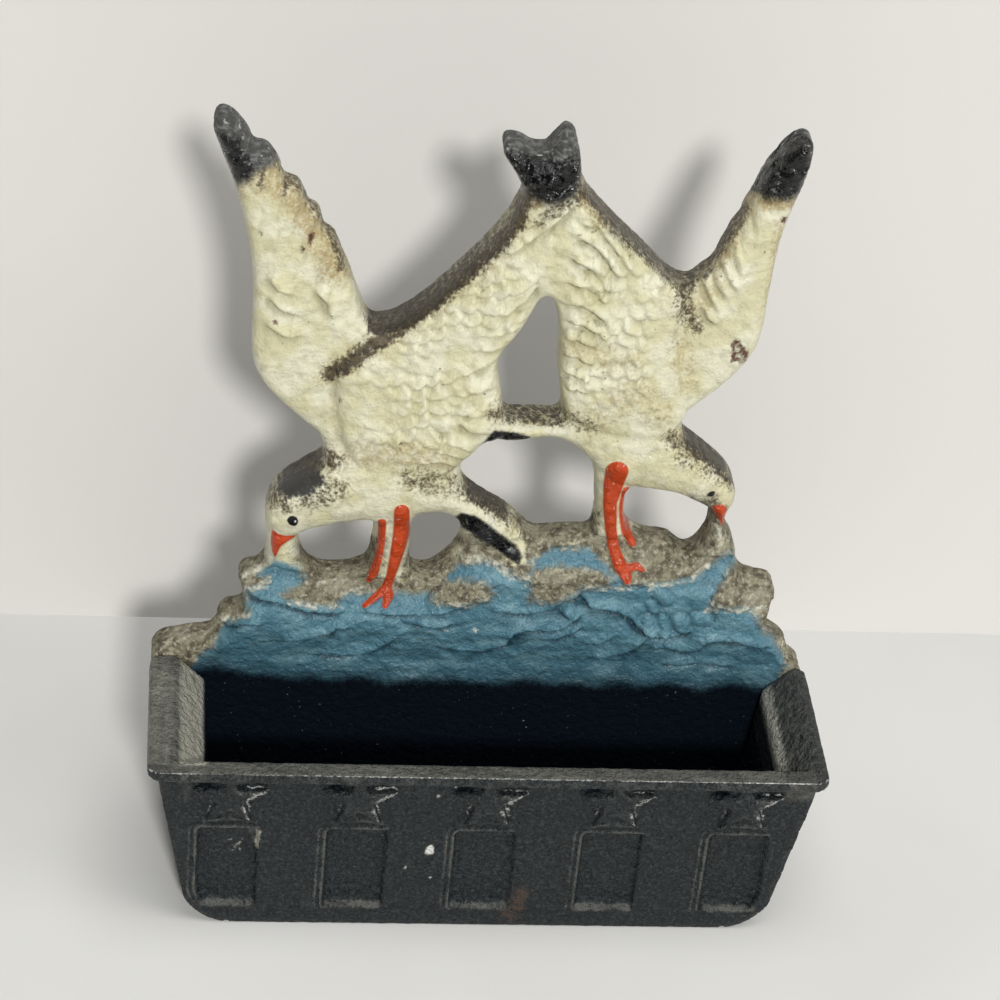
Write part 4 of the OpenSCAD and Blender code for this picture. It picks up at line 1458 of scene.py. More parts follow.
class RowTree:
    """Node tree that sets copies of one piece side by side."""

    def __init__(self) -> None:
        """Builds the tree with its named inputs."""
        self.tree = bpy.data.node_groups.new("piece_row", "GeometryNodeTree")
        face = self.tree.interface
        face.new_socket("Geometry", in_out="INPUT", socket_type="NodeSocketGeometry")
        self.inputs = {
            name: face.new_socket(name, in_out="INPUT", socket_type=kind).identifier
            for name, kind in (
                ("Count", "NodeSocketInt"),
                ("Spacing", "NodeSocketFloat"),
                ("Finish", "NodeSocketMaterial"),
            )
        }
        face.new_socket("Geometry", in_out="OUTPUT", socket_type="NodeSocketGeometry")
        nodes, links = self.tree.nodes, self.tree.links
        source, result = nodes.new("NodeGroupInput"), nodes.new("NodeGroupOutput")
        line, place = nodes.new("GeometryNodeMeshLine"), nodes.new("GeometryNodeInstanceOnPoints")
        step, shift = nodes.new("ShaderNodeCombineXYZ"), nodes.new("GeometryNodeSetPosition")
        real, coat = nodes.new("GeometryNodeRealizeInstances"), nodes.new("GeometryNodeSetMaterial")
        less, width, middle = (nodes.new("ShaderNodeMath") for _ in range(3))
        less.operation, width.operation, middle.operation = "SUBTRACT", "MULTIPLY", "MULTIPLY"
        less.inputs[1].default_value, middle.inputs[1].default_value = 1.0, -0.5
        back = nodes.new("ShaderNodeCombineXYZ")
        for a, b in (
            (source.outputs["Count"], line.inputs["Count"]),
            (source.outputs["Spacing"], step.inputs["X"]),
            (step.outputs["Vector"], line.inputs["Offset"]),
            (source.outputs["Count"], less.inputs[0]),
            (less.outputs[0], width.inputs[0]),
            (source.outputs["Spacing"], width.inputs[1]),
            (width.outputs[0], middle.inputs[0]),
            (middle.outputs[0], back.inputs["X"]),
            (line.outputs["Mesh"], shift.inputs["Geometry"]),
            (back.outputs["Vector"], shift.inputs["Offset"]),
            (shift.outputs["Geometry"], place.inputs["Points"]),
            (source.outputs["Geometry"], place.inputs["Instance"]),
            (place.outputs["Instances"], real.inputs["Geometry"]),
            (real.outputs["Geometry"], coat.inputs["Geometry"]),
            (source.outputs["Finish"], coat.inputs["Material"]),
            (coat.outputs["Geometry"], result.inputs["Geometry"]),
        ):
            links.new(a, b)

    def lay(self, obj: Object, count: int, spacing: float, finish: Material) -> None:
        """Turns an object into a plain row of copies of itself.

        Args:
            obj: Object that holds one copy in the middle.
            count: Number of copies.
            spacing: Distance between copies in millimetres.
            finish: Material of the row.
        """
        row = obj.modifiers.new("row", "NODES")
        row.node_group = self.tree
        row[self.inputs["Count"]] = count
        row[self.inputs["Spacing"]] = spacing * MM
        row[self.inputs["Finish"]] = finish
        plain_mesh(obj)


# The trough


@dataclass
class Trough:
    """Match trough with its worn rim, stars and panels."""

    voxel: float = 0.95
    front_y: float = -23.0
    plate_y: float = 16.0
    foot_half: float = 57.0
    neck_half: float = 64.0
    neck_z: float = 39.4
    corner_r: float = 10.0
    foot_y: float = -16.5
    neck_y: float = -21.0
    floor_z: float = 3.5
    floor_half: float = 53.0
    bend_z: float = 36.5
    left_bend: float = -54.7
    right_bend: float = 57.7
    right_rim: float = 63.5
    motifs: int = 5
    pitch: float = 25.0
    panel_w: float = 12.0
    panel_low: float = 5.0
    panel_top: float = 26.5
    panel_depth: float = 1.0
    panel_r: float = 1.0
    end_panel_r: float = 5.0
    ledge: float = 2.0
    bead: float = 0.4
    arch_z: float = 27.9
    skin: float = 1.6
    skin_top: float = 39.3
    fine_top: float = 39.6
    lip_y: float = -19.5
    lip_low: float = 38.8
    chips: Points = (
        (-10.6, 21.0, 0.95), (-10.0, 35.7, 0.22), (-15.1, 16.3, 0.18), (-10.0, 13.6, 0.2), (-6.6, 37.9, 0.18),
    )
    pale_corner: Points = ((-46.1, 25.6), (-44.0, 25.4), (-44.4, 20.8))
    scratches: tuple[Points, ...] = (((-49.4, 22.0), (-47.2, 19.8)), ((-48.9, 19.9), (-47.4, 22.4)))
    rust_run: Points = ((8.7, 9.5), (7.8, 6.5), (6.5, 3.5))

    def face_y(self, z: Array) -> Array:
        """Place of the leaning front face at a height."""
        return self.foot_y + (self.neck_y - self.foot_y) * z / self.neck_z

    def motif(self, x: Array) -> tuple[Array, Array]:
        """Nearest star and panel of places along the front.

        Args:
            x: Places along the front.

        Returns:
            The distance to the right of its middle, and its number from the middle.
        """
        last = (self.motifs - 1) / 2
        number = np.clip(np.round(x / self.pitch), -last, last)
        return x - number * self.pitch, number

    def panel_depths(self, x: Array, z: Array) -> Array:
        """Depth of places inside their panel's outline, below 0 outside it."""
        across, number = self.motif(x)
        last = (self.motifs - 1) / 2
        mid, tall = (self.panel_low + self.panel_top) / 2, (self.panel_top - self.panel_low) / 2
        rounder = (np.abs(number) == last) & (across * number > 0) & (z < mid)
        r = np.where(rounder, self.end_panel_r, self.panel_r)
        qx, qz = np.abs(across) - self.panel_w / 2 + r, np.abs(z - mid) - tall + r
        return r - np.hypot(np.maximum(qx, 0), np.maximum(qz, 0)) - np.minimum(np.maximum(qx, qz), 0)

    def panel_sides(self, x: Array, z: Array) -> tuple[Array, Array, Array]:
        """How far places belong to the left, top and foot of their panel's outline."""
        across, _ = self.motif(x)
        left = soft_step(-across, self.panel_w / 2 - 1.4, self.panel_w / 2 - 0.2)
        left *= soft_step(z, self.panel_low - 1.0, self.panel_low + 1.0)
        left *= soft_step(z, self.panel_top + 0.8, self.panel_top)
        top = soft_step(z, self.panel_top - 1.2, self.panel_top) * soft_step(np.abs(across), 6.4, 5.4)
        foot = soft_step(z, self.panel_low + 2.6, self.panel_low + 1.6) * soft_step(np.abs(across), 6.2, 5.0)
        return left, top, foot

    def arch(self, x: Array, z: Array) -> Array:
        """Share of the low ridge that arches over each panel."""
        across, _ = self.motif(x)
        line = self.arch_z + 0.9 * (1.0 - (across / 5.5) ** 2)
        return bell(z - line, 0.5) * soft_step(np.abs(across), 5.8, 4.6)

    def relief(self, x: Array, z: Array) -> Array:
        """How far the edges of the panels stand out of the front and their floors lie in it.

        Args:
            x: Places along the front.
            z: Heights on the front.

        Returns:
            The height of the relief at each place.
        """
        panel = self.panel_depths(x, z)
        left, top, _ = self.panel_sides(x, z)
        foot = np.clip((z - self.panel_low) / self.ledge, 0.0, 1.0)
        out = -self.panel_depth * np.minimum(soft_step(panel, -0.1, 0.8), foot)
        out += self.bead * bell(panel + 0.3, 0.4) * (0.25 + np.maximum(left, 0.7 * top))
        out += 0.6 * self.bead * bell(panel + 1.5, 0.45) * left
        out += 0.3 * self.arch(x, z)
        across, _ = self.motif(x)
        beside = soft_step(np.abs(np.abs(across) - 5.2), 2.6, 1.2) * soft_step(z, 35.6, 37.2)
        out -= beside * (0.3 + 0.5 * cast_noise(x, z, 1.5, 53))
        crack = bell(x - 5.9, 0.3) * soft_step(z, 7.0, 8.5) * soft_step(z, 20.5, 18.5)
        return out - 0.5 * crack + 0.07 * cast_noise(x, 1.6 * z, 1.1, 54)

    def build(self, node: Object) -> Object:
        """Makes the casting from a copy of its CAD solid, with soft cast edges and a finer front.

        Args:
            node: CAD node of the trough.

        Returns:
            The new object.
        """
        mesh = node.data.copy()
        mesh.name = "match_trough"
        mesh.materials.clear()
        with edited(mesh) as work:
            bmesh.ops.remove_doubles(work, verts=work.verts, dist=0.001 * MM)
        obj = new_object("match_trough", mesh)
        skin = obj.modifiers.new("cast_skin", "REMESH")
        skin.mode = "VOXEL"
        skin.voxel_size = self.voxel * MM
        settle = obj.modifiers.new("settle", "SMOOTH")
        settle.factor = 0.5
        settle.iterations = 3
        plain_mesh(obj)
        self.refine(obj.data)
        obj.data.polygons.foreach_set("use_smooth", [True] * len(obj.data.polygons))
        places, normals = vertices_of(obj.data), normals_of(obj.data)
        low, high = places.min(0), places.max(0)
        x, y, z = places.T
        lumps = cast_noise(x + 3.1 * y, z * 1.7 + y, 2.6, 51)
        sand = cast_noise(x + 2.3 * y, 2.0 * z - y, 1.2, 52)
        front = (np.abs(y - self.face_y(z)) < self.skin) & (z < self.skin_top)
        flat = soft_step(z, 1.2, 2.6) * soft_step(z, 39.2, 38.4)
        flat *= soft_step(self.face_half(z) - np.abs(x), 1.0, 2.4)
        carved = self.face_y(z) - self.relief(x, z)
        places[:, 1] = np.where(front, y + (carved - y) * flat, y)
        places += normals * (0.06 * lumps + 0.05 * sand)[:, None]
        put_vertices(obj.data, np.clip(self.true_sides(places, normals), low, high))
        return obj

    def true_sides(self, places: Array, normals: Array) -> Array:
        """Brings the outside of the two ends back to their straight lines and round corners.

        Args:
            places: Vertices of the casting.
            normals: Their normals.

        Returns:
            The vertices with true ends.
        """
        x, z = np.abs(places[:, 0]), places[:, 2]
        r = self.corner_r
        _, middle, straight = self.end_lines()
        true = self.face_half(z) + 0.07 * cast_noise(places[:, 1], z, 2.4, 55)
        side = (np.abs(normals[:, 0]) > 0.75) & (np.abs(x - true) < 1.2)
        side &= (z < self.neck_z - 0.6) & (z > straight)
        sign = np.sign(places[:, 0])
        places[:, 0] = np.where(side, sign * true, places[:, 0])
        out = np.hypot(x - middle, z - r)
        round_off = (x > middle) & (z < straight) & (np.abs(out - r) < 1.0) & (np.abs(normals[:, 1]) < 0.5)
        scale = np.where(round_off, r / out, 1.0)
        places[:, 0] = np.where(round_off, sign * (middle + (x - middle) * scale), places[:, 0])
        places[:, 2] = np.where(round_off, r + (z - r) * scale, places[:, 2])
        return places

    def end_lines(self) -> tuple[float, float, float]:
        """Lean of the two ends, the middle of their round corners and the height where these end."""
        run = (self.neck_half - self.foot_half) / self.neck_z
        slant = np.hypot(1.0, run)
        r = self.corner_r
        return run, self.foot_half + run * r - r * slant, r - r * run / slant

    def face_half(self, z: Array) -> Array:
        """Half width of the front face at a height, in by the round of its lower corners."""
        run, middle, straight = self.end_lines()
        r = self.corner_r
        arc = middle + np.sqrt(np.maximum(r * r - (r - z) ** 2, 0.0))
        return np.where(z < straight, arc, self.foot_half + run * z)

    def refine(self, mesh: Mesh) -> None:
        """Divides the faces of the front and of its lip, which carry the finest detail."""
        with edited(mesh) as work:
            fine = set()
            for f in work.faces:
                c = f.calc_center_median() / MM
                on_face = abs(c.y - self.face_y(c.z)) < self.skin and c.z < self.fine_top and f.normal.y < 0.2
                on_lip = c.y < self.lip_y and c.z > self.lip_low
                if on_face or on_lip:
                    fine.update(f.edges)
            bmesh.ops.subdivide_edges(work, edges=list(fine), cuts=2, use_grid_fill=True)

    def hollow(self, x: Array, y: Array, z: Array) -> Array:
        """Share of the dark inside at places of the casting."""
        behind = y - self.face_y(z)
        slope = np.clip((z - self.floor_z) / (self.bend_z - self.floor_z), 0.0, 1.0)
        left = x + self.floor_half + (-self.left_bend - self.floor_half) * slope
        right = self.floor_half + (self.right_bend - self.floor_half) * slope - x
        from_end = np.minimum(left, right)
        roof = self.bend_z + 0.2 + (self.neck_z - self.bend_z) * soft_step(from_end, 0.8, 6.0)
        share = soft_step(from_end, -0.9, -0.2) * soft_step(behind, 1.6, 2.3) * soft_step(z, 2.7, 3.3)
        share *= soft_step(roof - z, -0.4, 0.6) * soft_step(self.plate_y - y, 0.1, 0.6)
        return share * np.maximum(soft_step(right, 0.3, 1.4), soft_step(z, 34.0, 24.0))

    def pale_ends(
        self, x: Array, z: Array, front: Array, top: Array, streaks: Array
    ) -> tuple[Array, Array]:
        """Pale wear of the flared ends and the rim, with painted light on the left flare and painted
        highlight and shade on the left end's ridge lines.

        Args:
            x: Places across.
            z: Places up.
            front: Share of the front face.
            top: Share of the rim's top.
            streaks: Noise drawn out from front to back.

        Returns:
            The wear at each place, and the share of the right end.
        """
        left = soft_step(x, -53.4, -55.0) * soft_step(z, 30.0, 36.0)
        right = soft_step(x, 56.6, 58.2) * soft_step(z, 34.0, 37.0)
        # Painted highlight and shade stand in for the left end's ridge lines; its flare is lighter partly as
        # wear and partly as painted light.
        ridge_highlight_and_shade = bell(x + 58.3, 0.9) + bell(x + 55.6, 0.8) - bell(x + 60.4, 0.6)
        flare = soft_step(x, -61.0, -60.0)
        left_wear_and_light = 0.46 + 0.34 * flare + 0.5 * ridge_highlight_and_shade + 0.16 * streaks
        pale = left * left_wear_and_light * (1.0 - 0.85 * front) + 0.26 * right
        rim_right = soft_step(x, self.right_rim - 0.5, self.right_rim + 0.5)
        return np.maximum(pale - 0.12 * right * rim_right, 0.36 * top * (1.0 - right)), right

    def face_wear(self, x: Array, z: Array) -> Array:
        """Wear along the edges of the panels, their arches and the foot of the lip, heavier on the lit left
        sides, tops and foot ledges as painted highlight.
        """
        sides, cap, foot = self.panel_sides(x, z)
        panel = self.panel_depths(x, z)
        inner = soft_step(np.abs(panel + 0.3), 0.45, 0.05) * np.maximum(0.85 * sides, 0.75 * cap)
        outer = 0.55 * soft_step(np.abs(panel + 1.5), 0.4, 0.05) * sides
        ledge = 0.75 * foot * soft_step(np.abs(z - self.panel_low - 0.6), 1.2, 0.3)
        under = 0.25 * soft_step(np.abs(z - self.neck_z), 0.6, 0.1)
        return np.maximum.reduce([inner, outer, ledge, 0.35 * self.arch(x, z), under])

    def glints(self, x: Array, z: Array) -> Array:
        """Bright edges of the front beside its stars."""
        across, _ = self.motif(x)
        star = patch_distance(across, z - Stars.middle_z, [tuple(p) for p in Stars().outline()])
        ragged = star + 0.5 * cast_noise(x, z, 1.0, 65)
        low_left = 0.5 * soft_step(across, -2.4, -3.4) * soft_step(z, 35.0, 33.0)
        beside = np.maximum(soft_step(across, 2.2, 3.6), low_left)
        return soft_step(np.abs(ragged - 0.35), 0.55, 0.15) * beside * soft_step(z, 30.0, 31.5)

    def wear(self, obj: Object) -> None:
        """Stores the wear, rust and chips, the dark inside where dust gathers, and painted highlights and
        shadows on the casting.

        Args:
            obj: The casting.
        """
        places, normals = vertices_of(obj.data), normals_of(obj.data)
        x, y, z = places.T
        behind = y - self.face_y(z)
        front = soft_step(behind, 1.2, 0.4)
        across, _ = self.motif(x)
        # Painted shadow in the recess left of each star's top point, laid in the dark inside colour.
        star_pocket_shadow = front * soft_step(np.hypot(across + 4.8, 1.4 * (z - 37.3)), 2.0, 1.0)
        patchy = cast_noise(x + 2.1 * y, z + y, 6.0, 61)
        streaks = cast_noise(x + 0.4 * z, 0.12 * y, 1.3, 66)
        top = soft_step(normals[:, 2], 0.4, 0.85) * soft_step(z, 40.0, 41.2)
        pale, end_right = self.pale_ends(x, z, front, top, streaks)
        pale = pale * (1.0 + (0.35 - 0.2 * end_right) * patchy)
        corner = patch_distance(x, z, self.pale_corner) + 0.2 * cast_noise(x, z, 1.2, 67)
        pale = np.maximum(pale, front * 1.3 * soft_step(corner, 0.7, -0.1))
        bend_left = np.hypot(x - self.left_bend, z - self.bend_z)
        bend_right = np.hypot(x - self.right_bend, z - self.bend_z) + 0.3 * streaks
        behind_front = soft_step(behind, 2.5, 4.0)
        # Painted highlights along the bend of each flared end.
        left_bend_highlight = 0.5 * soft_step(bend_left, 1.3, 0.3) * behind_front
        right_bend_highlight = soft_step(bend_right, 3.4, 0.4) * behind_front
        shelf = soft_step(z, 39.2, 39.8) * soft_step(normals[:, 1], -0.3, -0.8)
        # Wear, partly painted highlight on the lit panel edges and the left bend.
        worn = np.maximum.reduce([self.face_wear(x, z) * front, left_bend_highlight, 0.22 * shelf, 0.15 * top])
        lip = soft_step(y, self.front_y + 2.5, self.front_y + 1.5)
        lip *= soft_step(z, self.neck_z + 0.6, self.neck_z + 1.2)
        # Painted highlight along the lip's rounded arris, mixed with wear, brighter towards the right.
        arris = soft_step(np.abs(normals[:, 1] + normals[:, 2]), 0.4, 0.05) * lip
        broken = 0.35 + 0.45 * cast_noise(x, z, 9.0, 62) + 0.25 * soft_step(x, -20.0, 20.0)
        cross = np.minimum.reduce([line_distance(x, z, line)[0] for line in self.scratches])
        scratch = front * soft_step(cross + 0.15 * cast_noise(x, z, 0.8, 68), 0.95, 0.3)
        # Bright marks: the lip's painted highlight and wear, and painted glints beside the stars.
        bright = arris * np.clip(broken, 0.0, 1.0) + (0.42 + 0.25 * patchy) * front * self.glints(x, z)
        run = line_distance(x, z, self.rust_run)[0] + 1.4 * cast_noise(x, z, 2.2, 64)
        chips = np.minimum.reduce([np.hypot((x - cx) * 1.2, (z - cz) * 0.8) - r for cx, cz, r in self.chips])
        chips += 0.35 * cast_noise(x, z, 0.9, 63)
        fields = {
            "inside": np.maximum(self.hollow(x, y, z), 0.9 * star_pocket_shadow),
            "pale": np.clip(np.maximum(pale, right_bend_highlight), 0.0, 1.0),
            "worn": np.clip(worn * (1.0 + 0.7 * patchy), 0.0, 1.0),
            "bright": np.clip(bright + 0.85 * scratch + 0.25 * right_bend_highlight, 0.0, 1.0),
            "rust": 0.5 * soft_step(run, 3.2, 0.6) * front,
            "chip": soft_step(chips, 0.15, -0.15) * (front > 0.5),
        }
        for name, values in fields.items():
            put_field(obj.data, name, values)

    def make(self, node: Object) -> None:
        """Builds, wears and hands over the trough.

        Args:
            node: CAD node that it stands for.
        """
        obj = self.build(node)
        self.wear(obj)
        finish = TroughBlack()
        black = finish.material("trough_black", shine=0.3)
        dress(obj, black, finish.material("trough_inside", shine=0.05), "inside")
        hand_over(obj, "trough")
        Stars().make(self, black)


@dataclass
class Stars:
    """Row of raised five-pointed stars under the lip of the trough."""

    middle_z: float = 34.5
    reach: float = 7.0
    waist: float = 2.9
    top_z: float = 40.2
    edge_points: int = 6
    rings: Points = (
        (0.5, -0.4, 0.0), (0.25, 0.1, 0.0), (0.05, 0.55, 0.08), (-0.2, 0.95, 0.3), (-0.5, 1.15, 0.28),
        (-1.0, 1.22, 0.12), (-1.7, 1.25, 0.06),
    )

    def outline(self) -> Array:
        """Points round the star at its foot, from its middle."""
        turns = np.radians(36.0 * np.arange(10))
        reach = np.where(np.arange(10) % 2 == 0, self.reach, self.waist)
        corners = np.stack([reach * np.sin(turns), reach * np.cos(turns)], 1)
        along = np.arange(self.edge_points)[:, None] / self.edge_points
        return np.concatenate([a + (b - a) * along for a, b in zip(corners, np.roll(corners, -1, 0))])

    def build(self, trough: Trough) -> Object:
        """Makes one closed star on the middle of the leaning front.

        Args:
            trough: Trough that carries it.

        Returns:
            The new object.
        """
        foot = self.outline()
        count = len(foot)
        turn = np.radians(36.0)
        side = self.reach * self.waist * np.sin(turn)
        inner = side / np.sqrt(self.reach**2 + self.waist**2 - 2 * self.reach * self.waist * np.cos(turn))
        flat, out, worn = [], [], []
        for grow, height, wear in self.rings:
            ring = foot * (1.0 + grow / inner)
            flat.append(ring)
            out.append(np.full(count, height))
            # Edge wear, heavier towards the right as painted highlight.
            worn.append(wear * (0.8 + 1.2 * np.clip(ring[:, 0] / self.reach, -0.5, 1.0)))
        flat.append(np.zeros((1, 2)))
        out.append(np.array([self.rings[-1][1]]))
        worn.append(np.array([self.rings[-1][2]]))
        x, z = np.concatenate(flat).T
        z = np.minimum(z + self.middle_z, self.top_z)
        lumps = 0.12 * cast_noise(x, z, 1.6, 71)
        y = trough.face_y(z) - np.concatenate(out) - lumps
        faces = []
        for k in range(len(self.rings) - 1):
            for i in range(count):
                n = (i + 1) % count
                faces.append((k * count + i, k * count + n, (k + 1) * count + n, (k + 1) * count + i))
        top = (len(self.rings) - 1) * count
        faces += [(top + i, top + (i + 1) % count, top + count) for i in range(count)]
        faces.append(tuple(range(count)))
        mesh = bpy.data.meshes.new("front_stars")
        mesh.from_pydata(np.stack([x, y, z], 1) * MM, [], faces)
        with edited(mesh) as work:
            bmesh.ops.recalc_face_normals(work, faces=work.faces)
        worn = np.concatenate(worn)
        put_field(mesh, "worn", worn)
        low_left = 0.5 * soft_step(x, -2.0, -3.5) * soft_step(z - self.middle_z, 0.0, -1.5)
        lit = soft_step(x, 1.0, 3.5) + low_left
        broken = soft_step(cast_noise(x, z, 1.1, 72), -0.1, 0.4)
        put_field(mesh, "bright", 0.65 * soft_step(worn, 0.2, 0.4) * lit * broken)
        return new_object("front_stars", mesh)

    def make(self, trough: Trough, finish: Material) -> None:
        """Lays the row with the node tree and puts it on the body.

        Args:
            trough: Trough that carries the stars.
            finish: Finish that they share with it.
        """
        obj = self.build(trough)
        RowTree().lay(obj, trough.motifs, trough.pitch, finish)
        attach(obj, BODY)
        LOG.info("%s: %d stars", obj.name, trough.motifs)


# Bolts and nuts


@dataclass
class Fixings:
    """Two slotted bolts from behind and their square nuts."""

    count: int = 2
    spacing: float = 80.0
    bolt_z: float = 10.0
    back_y: float = 23.0
    bolt_d: float = 4.8
    head_d: float = 9.0
    head_h: float = 2.6
    length: float = 14.2
    slot_w: float = 1.2
    slot_depth: float = 1.2
    thread: float = 0.8
    nut_w: float = 8.0
    nut_t: float = 3.2
    nut_y: float = 10.3
    bore_d: float = 5.2
    sides: int = 40

    def turned(self, profile: Points) -> bmesh.types.BMesh:
        """Solid turned about the Y axis from a profile.

        Args:
            profile: Points of radius and place along Y, from one end to the other.

        Returns:
            The closed solid, in millimetres.
        """
        work = bmesh.new()
        rings = []
        for radius, y in profile:
            angles = [2.0 * np.pi * k / self.sides for k in range(self.sides)]
            rings.append([work.verts.new((radius * np.cos(a), y, radius * np.sin(a))) for a in angles])
        for a, b in zip(rings[:-1], rings[1:]):
            for k in range(self.sides):
                n = (k + 1) % self.sides
                work.faces.new((a[k], a[n], b[n], b[k]))
        work.faces.new(rings[0])
        work.faces.new(rings[-1][::-1])
        bmesh.ops.recalc_face_normals(work, faces=work.faces)
        return work

    def block(self, y: float, size: tuple[float, float, float]) -> bmesh.types.BMesh:
        """Box with its middle on the Y axis.

        Args:
            y: Place of its middle.
            size: Its lengths across, along Y and up.

        Returns:
            The closed solid, in millimetres.
        """
        work = bmesh.new()
        place = Matrix.Translation((0, y, 0)) @ Matrix.Diagonal((*size, 1))
        bmesh.ops.create_cube(work, size=1.0, matrix=place)
        return work

    def bolt(self) -> Mesh:
        """One bolt with a slotted countersunk head and rolled thread."""
        end = self.back_y - self.length
        r = self.bolt_d / 2
        profile = [(self.head_d / 2 - 0.25, self.back_y - 0.05), (self.head_d / 2, self.back_y - 0.3)]
        profile.append((r, self.back_y - self.head_h))
        turns = int((self.length - self.head_h - 1.0) / self.thread)
        for k in range(turns):
            y = self.back_y - self.head_h - 0.4 - k * self.thread
            profile += [(r, y), (r - 0.25, y - self.thread / 2)]
        profile += [(r, end + 0.5), (r - 0.5, end)]
        work = self.turned(profile)
        slot = self.block(self.back_y, (self.head_d * 2, self.slot_depth * 2, self.slot_w))
        return self.cut(work, slot, "plate_bolts")

    def nut(self) -> Mesh:
        """One square nut with worn corners and its bore."""
        work = self.block(self.nut_y + self.nut_t / 2, (self.nut_w, self.nut_t, self.nut_w))
        bmesh.ops.bevel(work, geom=work.edges[:], offset=0.35, segments=3, affect="EDGES")
        r = self.bore_d / 2
        bore = self.turned([(r, self.nut_y - 1), (r, self.nut_y + self.nut_t + 1)])
        return self.cut(work, bore, "plate_nuts")

    def cut(self, solid: bmesh.types.BMesh, tool: bmesh.types.BMesh, name: str) -> Mesh:
        """Cuts a tool out of a solid and sets it at the bolts' height.

        Args:
            solid: Solid to cut, in millimetres.
            tool: Tool to cut it with.
            name: Name of the mesh.

        Returns:
            The cut mesh in metres.
        """
        made = []
        place = Matrix.Scale(MM, 4) @ Matrix.Translation((0, 0, self.bolt_z))
        for label, work in ((name, solid), (name + "_tool", tool)):
            bmesh.ops.transform(work, matrix=place, verts=work.verts)
            mesh = bpy.data.meshes.new(label)
            work.to_mesh(mesh)
            work.free()
            made.append(new_object(label, mesh))
        piece, cutter = made
        change = piece.modifiers.new("cut", "BOOLEAN")
        change.operation = "DIFFERENCE"
        change.solver = "EXACT"
        change.object = cutter
        plain_mesh(piece)
        bpy.data.objects.remove(cutter)
        mesh = piece.data
        bpy.data.objects.remove(piece)
        return mesh

    def make(self) -> None:
        """Builds both rows with the node tree and hands them over."""
        tree, steel = RowTree(), FixingSteel().material()
        for name, node, mesh in (("plate_bolts", "bolts", self.bolt()), ("plate_nuts", "nuts", self.nut())):
            obj = new_object(name, mesh)
            tree.lay(obj, self.count, self.spacing, steel)
            obj.data.shade_flat()
            hand_over(obj, node)


# The studio


@dataclass(frozen=True)
class Lamp:
    """Square soft lamp.

    Attributes:
        name: Its name.
        place: Its place in metres.
        watts: Its power.
        size: Length of its side in metres.
    """

    name: str
    place: tuple[float, float, float]
    watts: float
    size: float = 0.8


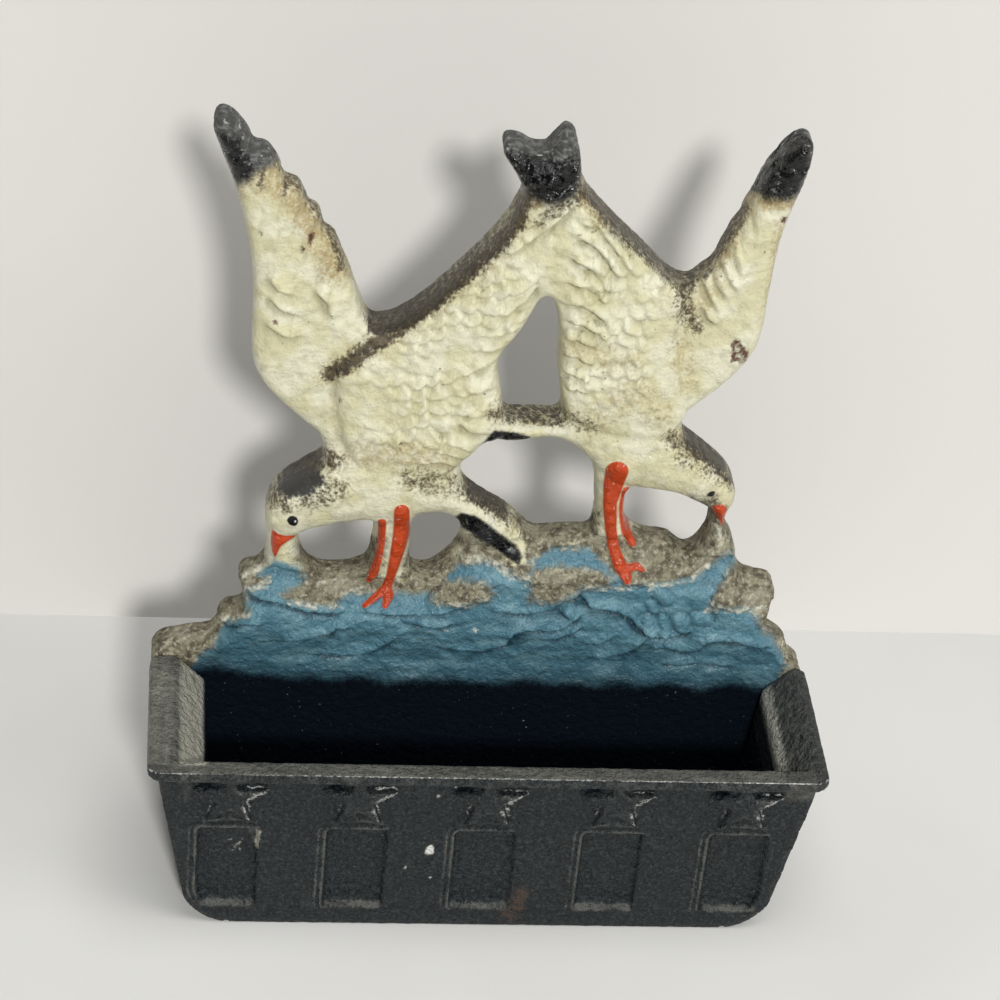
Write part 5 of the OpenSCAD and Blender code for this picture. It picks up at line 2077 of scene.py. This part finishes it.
@dataclass
class Studio:
    """Pale floor and wall, soft lamps and the camera."""

    wall_y: float = 88.0
    spread: float = 3000.0
    floor: str = "f5f4ef"
    wall: str = "dedcd6"
    dull: str = "dad8d2"
    focal: float = 130.04
    sensor: float = 36.0
    right: tuple = (0.99507, -0.06747, 0.07262)
    up: tuple = (-0.02375, 0.54895, 0.83552)
    towards: tuple = (-0.09624, -0.83313, 0.54464)
    world_light: float = 0.12
    key_light: float = 1.87
    key_angle: float = 0.1
    key_place: tuple = (0.09, -1.12, 0.73)
    aim_at: tuple = (0.0, 0.0, 0.08)
    lamps: tuple[Lamp, ...] = (
        Lamp("side_lamp", (0.9, -0.5, 0.8), 2.8),
        Lamp("top_lamp", (0.1, -0.3, 1.3), 6.2),
    )
    far_clip: float = 20.0

    def card(self, name: str, corners: Points, tint: str) -> Bench:
        """Lays a flat pale card.

        Args:
            name: Name of the card.
            corners: Its corners, turning left as seen from its face.
            tint: Its colour.

        Returns:
            The bench that its finish was made on.
        """
        mesh = bpy.data.meshes.new(name)
        mesh.from_pydata(np.array(corners) * MM, [], [tuple(range(len(corners)))])
        obj = new_object(name, mesh)
        b = Bench(name)
        tone = b.coat(tint, self.dull, b.mottle(60.0, 2.0, 0.4, 0.7, 0.15))
        mesh.materials.append(b.finish(tone, 0.9, b.bump(b.noise(1.5, 2.0), 0.02)))
        return b

    def ground(self) -> None:
        """Floor, and a wall that is seen only from its front and neither shades nor lights the rest."""
        far, y = self.spread, self.wall_y
        flat = ((-far, -far, 0.0), (far, -far, 0.0), (far, far, 0.0), (-far, far, 0.0))
        upright = ((-far, y, 0.0), (far, y, 0.0), (far, y, far), (-far, y, far))
        self.card("studio_floor", flat, self.floor)
        wall = self.card("studio_wall", upright, self.wall)
        unseen = wall.node("NewGeometry", {}).outputs["Backfacing"]
        path = wall.node("LightPath", {})
        for ray in ("Is Shadow Ray", "Is Diffuse Ray"):
            unseen = wall.math("MAXIMUM", unseen, path.outputs[ray])
        clear = wall.node("BsdfTransparent", {}).outputs[0]
        mix = wall.node("MixShader", {0: unseen, 1: wall.shader.outputs["BSDF"], 2: clear})
        wall.feed(wall.surface, mix.outputs[0])

    def aim(self, data: Light, place: tuple) -> None:
        """Puts a lamp at a place in metres and turns it to the model."""
        lamp = bpy.data.objects.new(data.name, data)
        lamp.location = place
        lamp.rotation_euler = (Vector(self.aim_at) - Vector(place)).to_track_quat("-Z", "Y").to_euler()
        bpy.context.scene.collection.objects.link(lamp)

    def light(self) -> None:
        """Sets the pale world and the lamps."""
        world = bpy.data.worlds.new("studio_air")
        world.use_nodes = True
        air = world.node_tree.nodes["Background"]
        air.inputs["Color"].default_value = (1.0, 1.0, 1.0, 1.0)
        air.inputs["Strength"].default_value = self.world_light
        bpy.context.scene.world = world
        key = bpy.data.lights.new("key_lamp", "SUN")
        key.energy = self.key_light
        key.angle = self.key_angle
        self.aim(key, self.key_place)
        for lamp in self.lamps:
            data = bpy.data.lights.new(lamp.name, "AREA")
            data.shape = "SQUARE"
            data.size = lamp.size
            data.energy = lamp.watts
            self.aim(data, lamp.place)

    def camera(self) -> None:
        """Sets the camera at the viewing angle of the photograph."""
        data = bpy.data.cameras.new("camera")
        data.sensor_fit = "HORIZONTAL"
        data.sensor_width = self.sensor
        data.lens = self.focal
        data.clip_end = self.far_clip
        camera = bpy.data.objects.new("camera", data)
        turn = Matrix((self.right, self.up, self.towards)).transposed().to_4x4()
        camera.matrix_world = Matrix.Translation(Vector(SEEN_FROM) * MM) @ turn
        bpy.context.scene.collection.objects.link(camera)
        bpy.context.scene.camera = camera

    def make(self) -> None:
        """Builds the whole studio."""
        self.ground()
        self.light()
        self.camera()
        bpy.context.scene.view_settings.view_transform = "Standard"
        LOG.info("studio: floor, wall, lamps and camera")


def main() -> None:
    """Builds every piece in order."""
    logging.basicConfig(level=logging.INFO, format="%(name)s: %(message)s")
    nodes = frame["nodes"]
    BackPlate().make(nodes["back_plate"])
    Trough().make(nodes["trough"])
    Fixings().make()
    Studio().make()


if __name__ == "__main__":
    main()
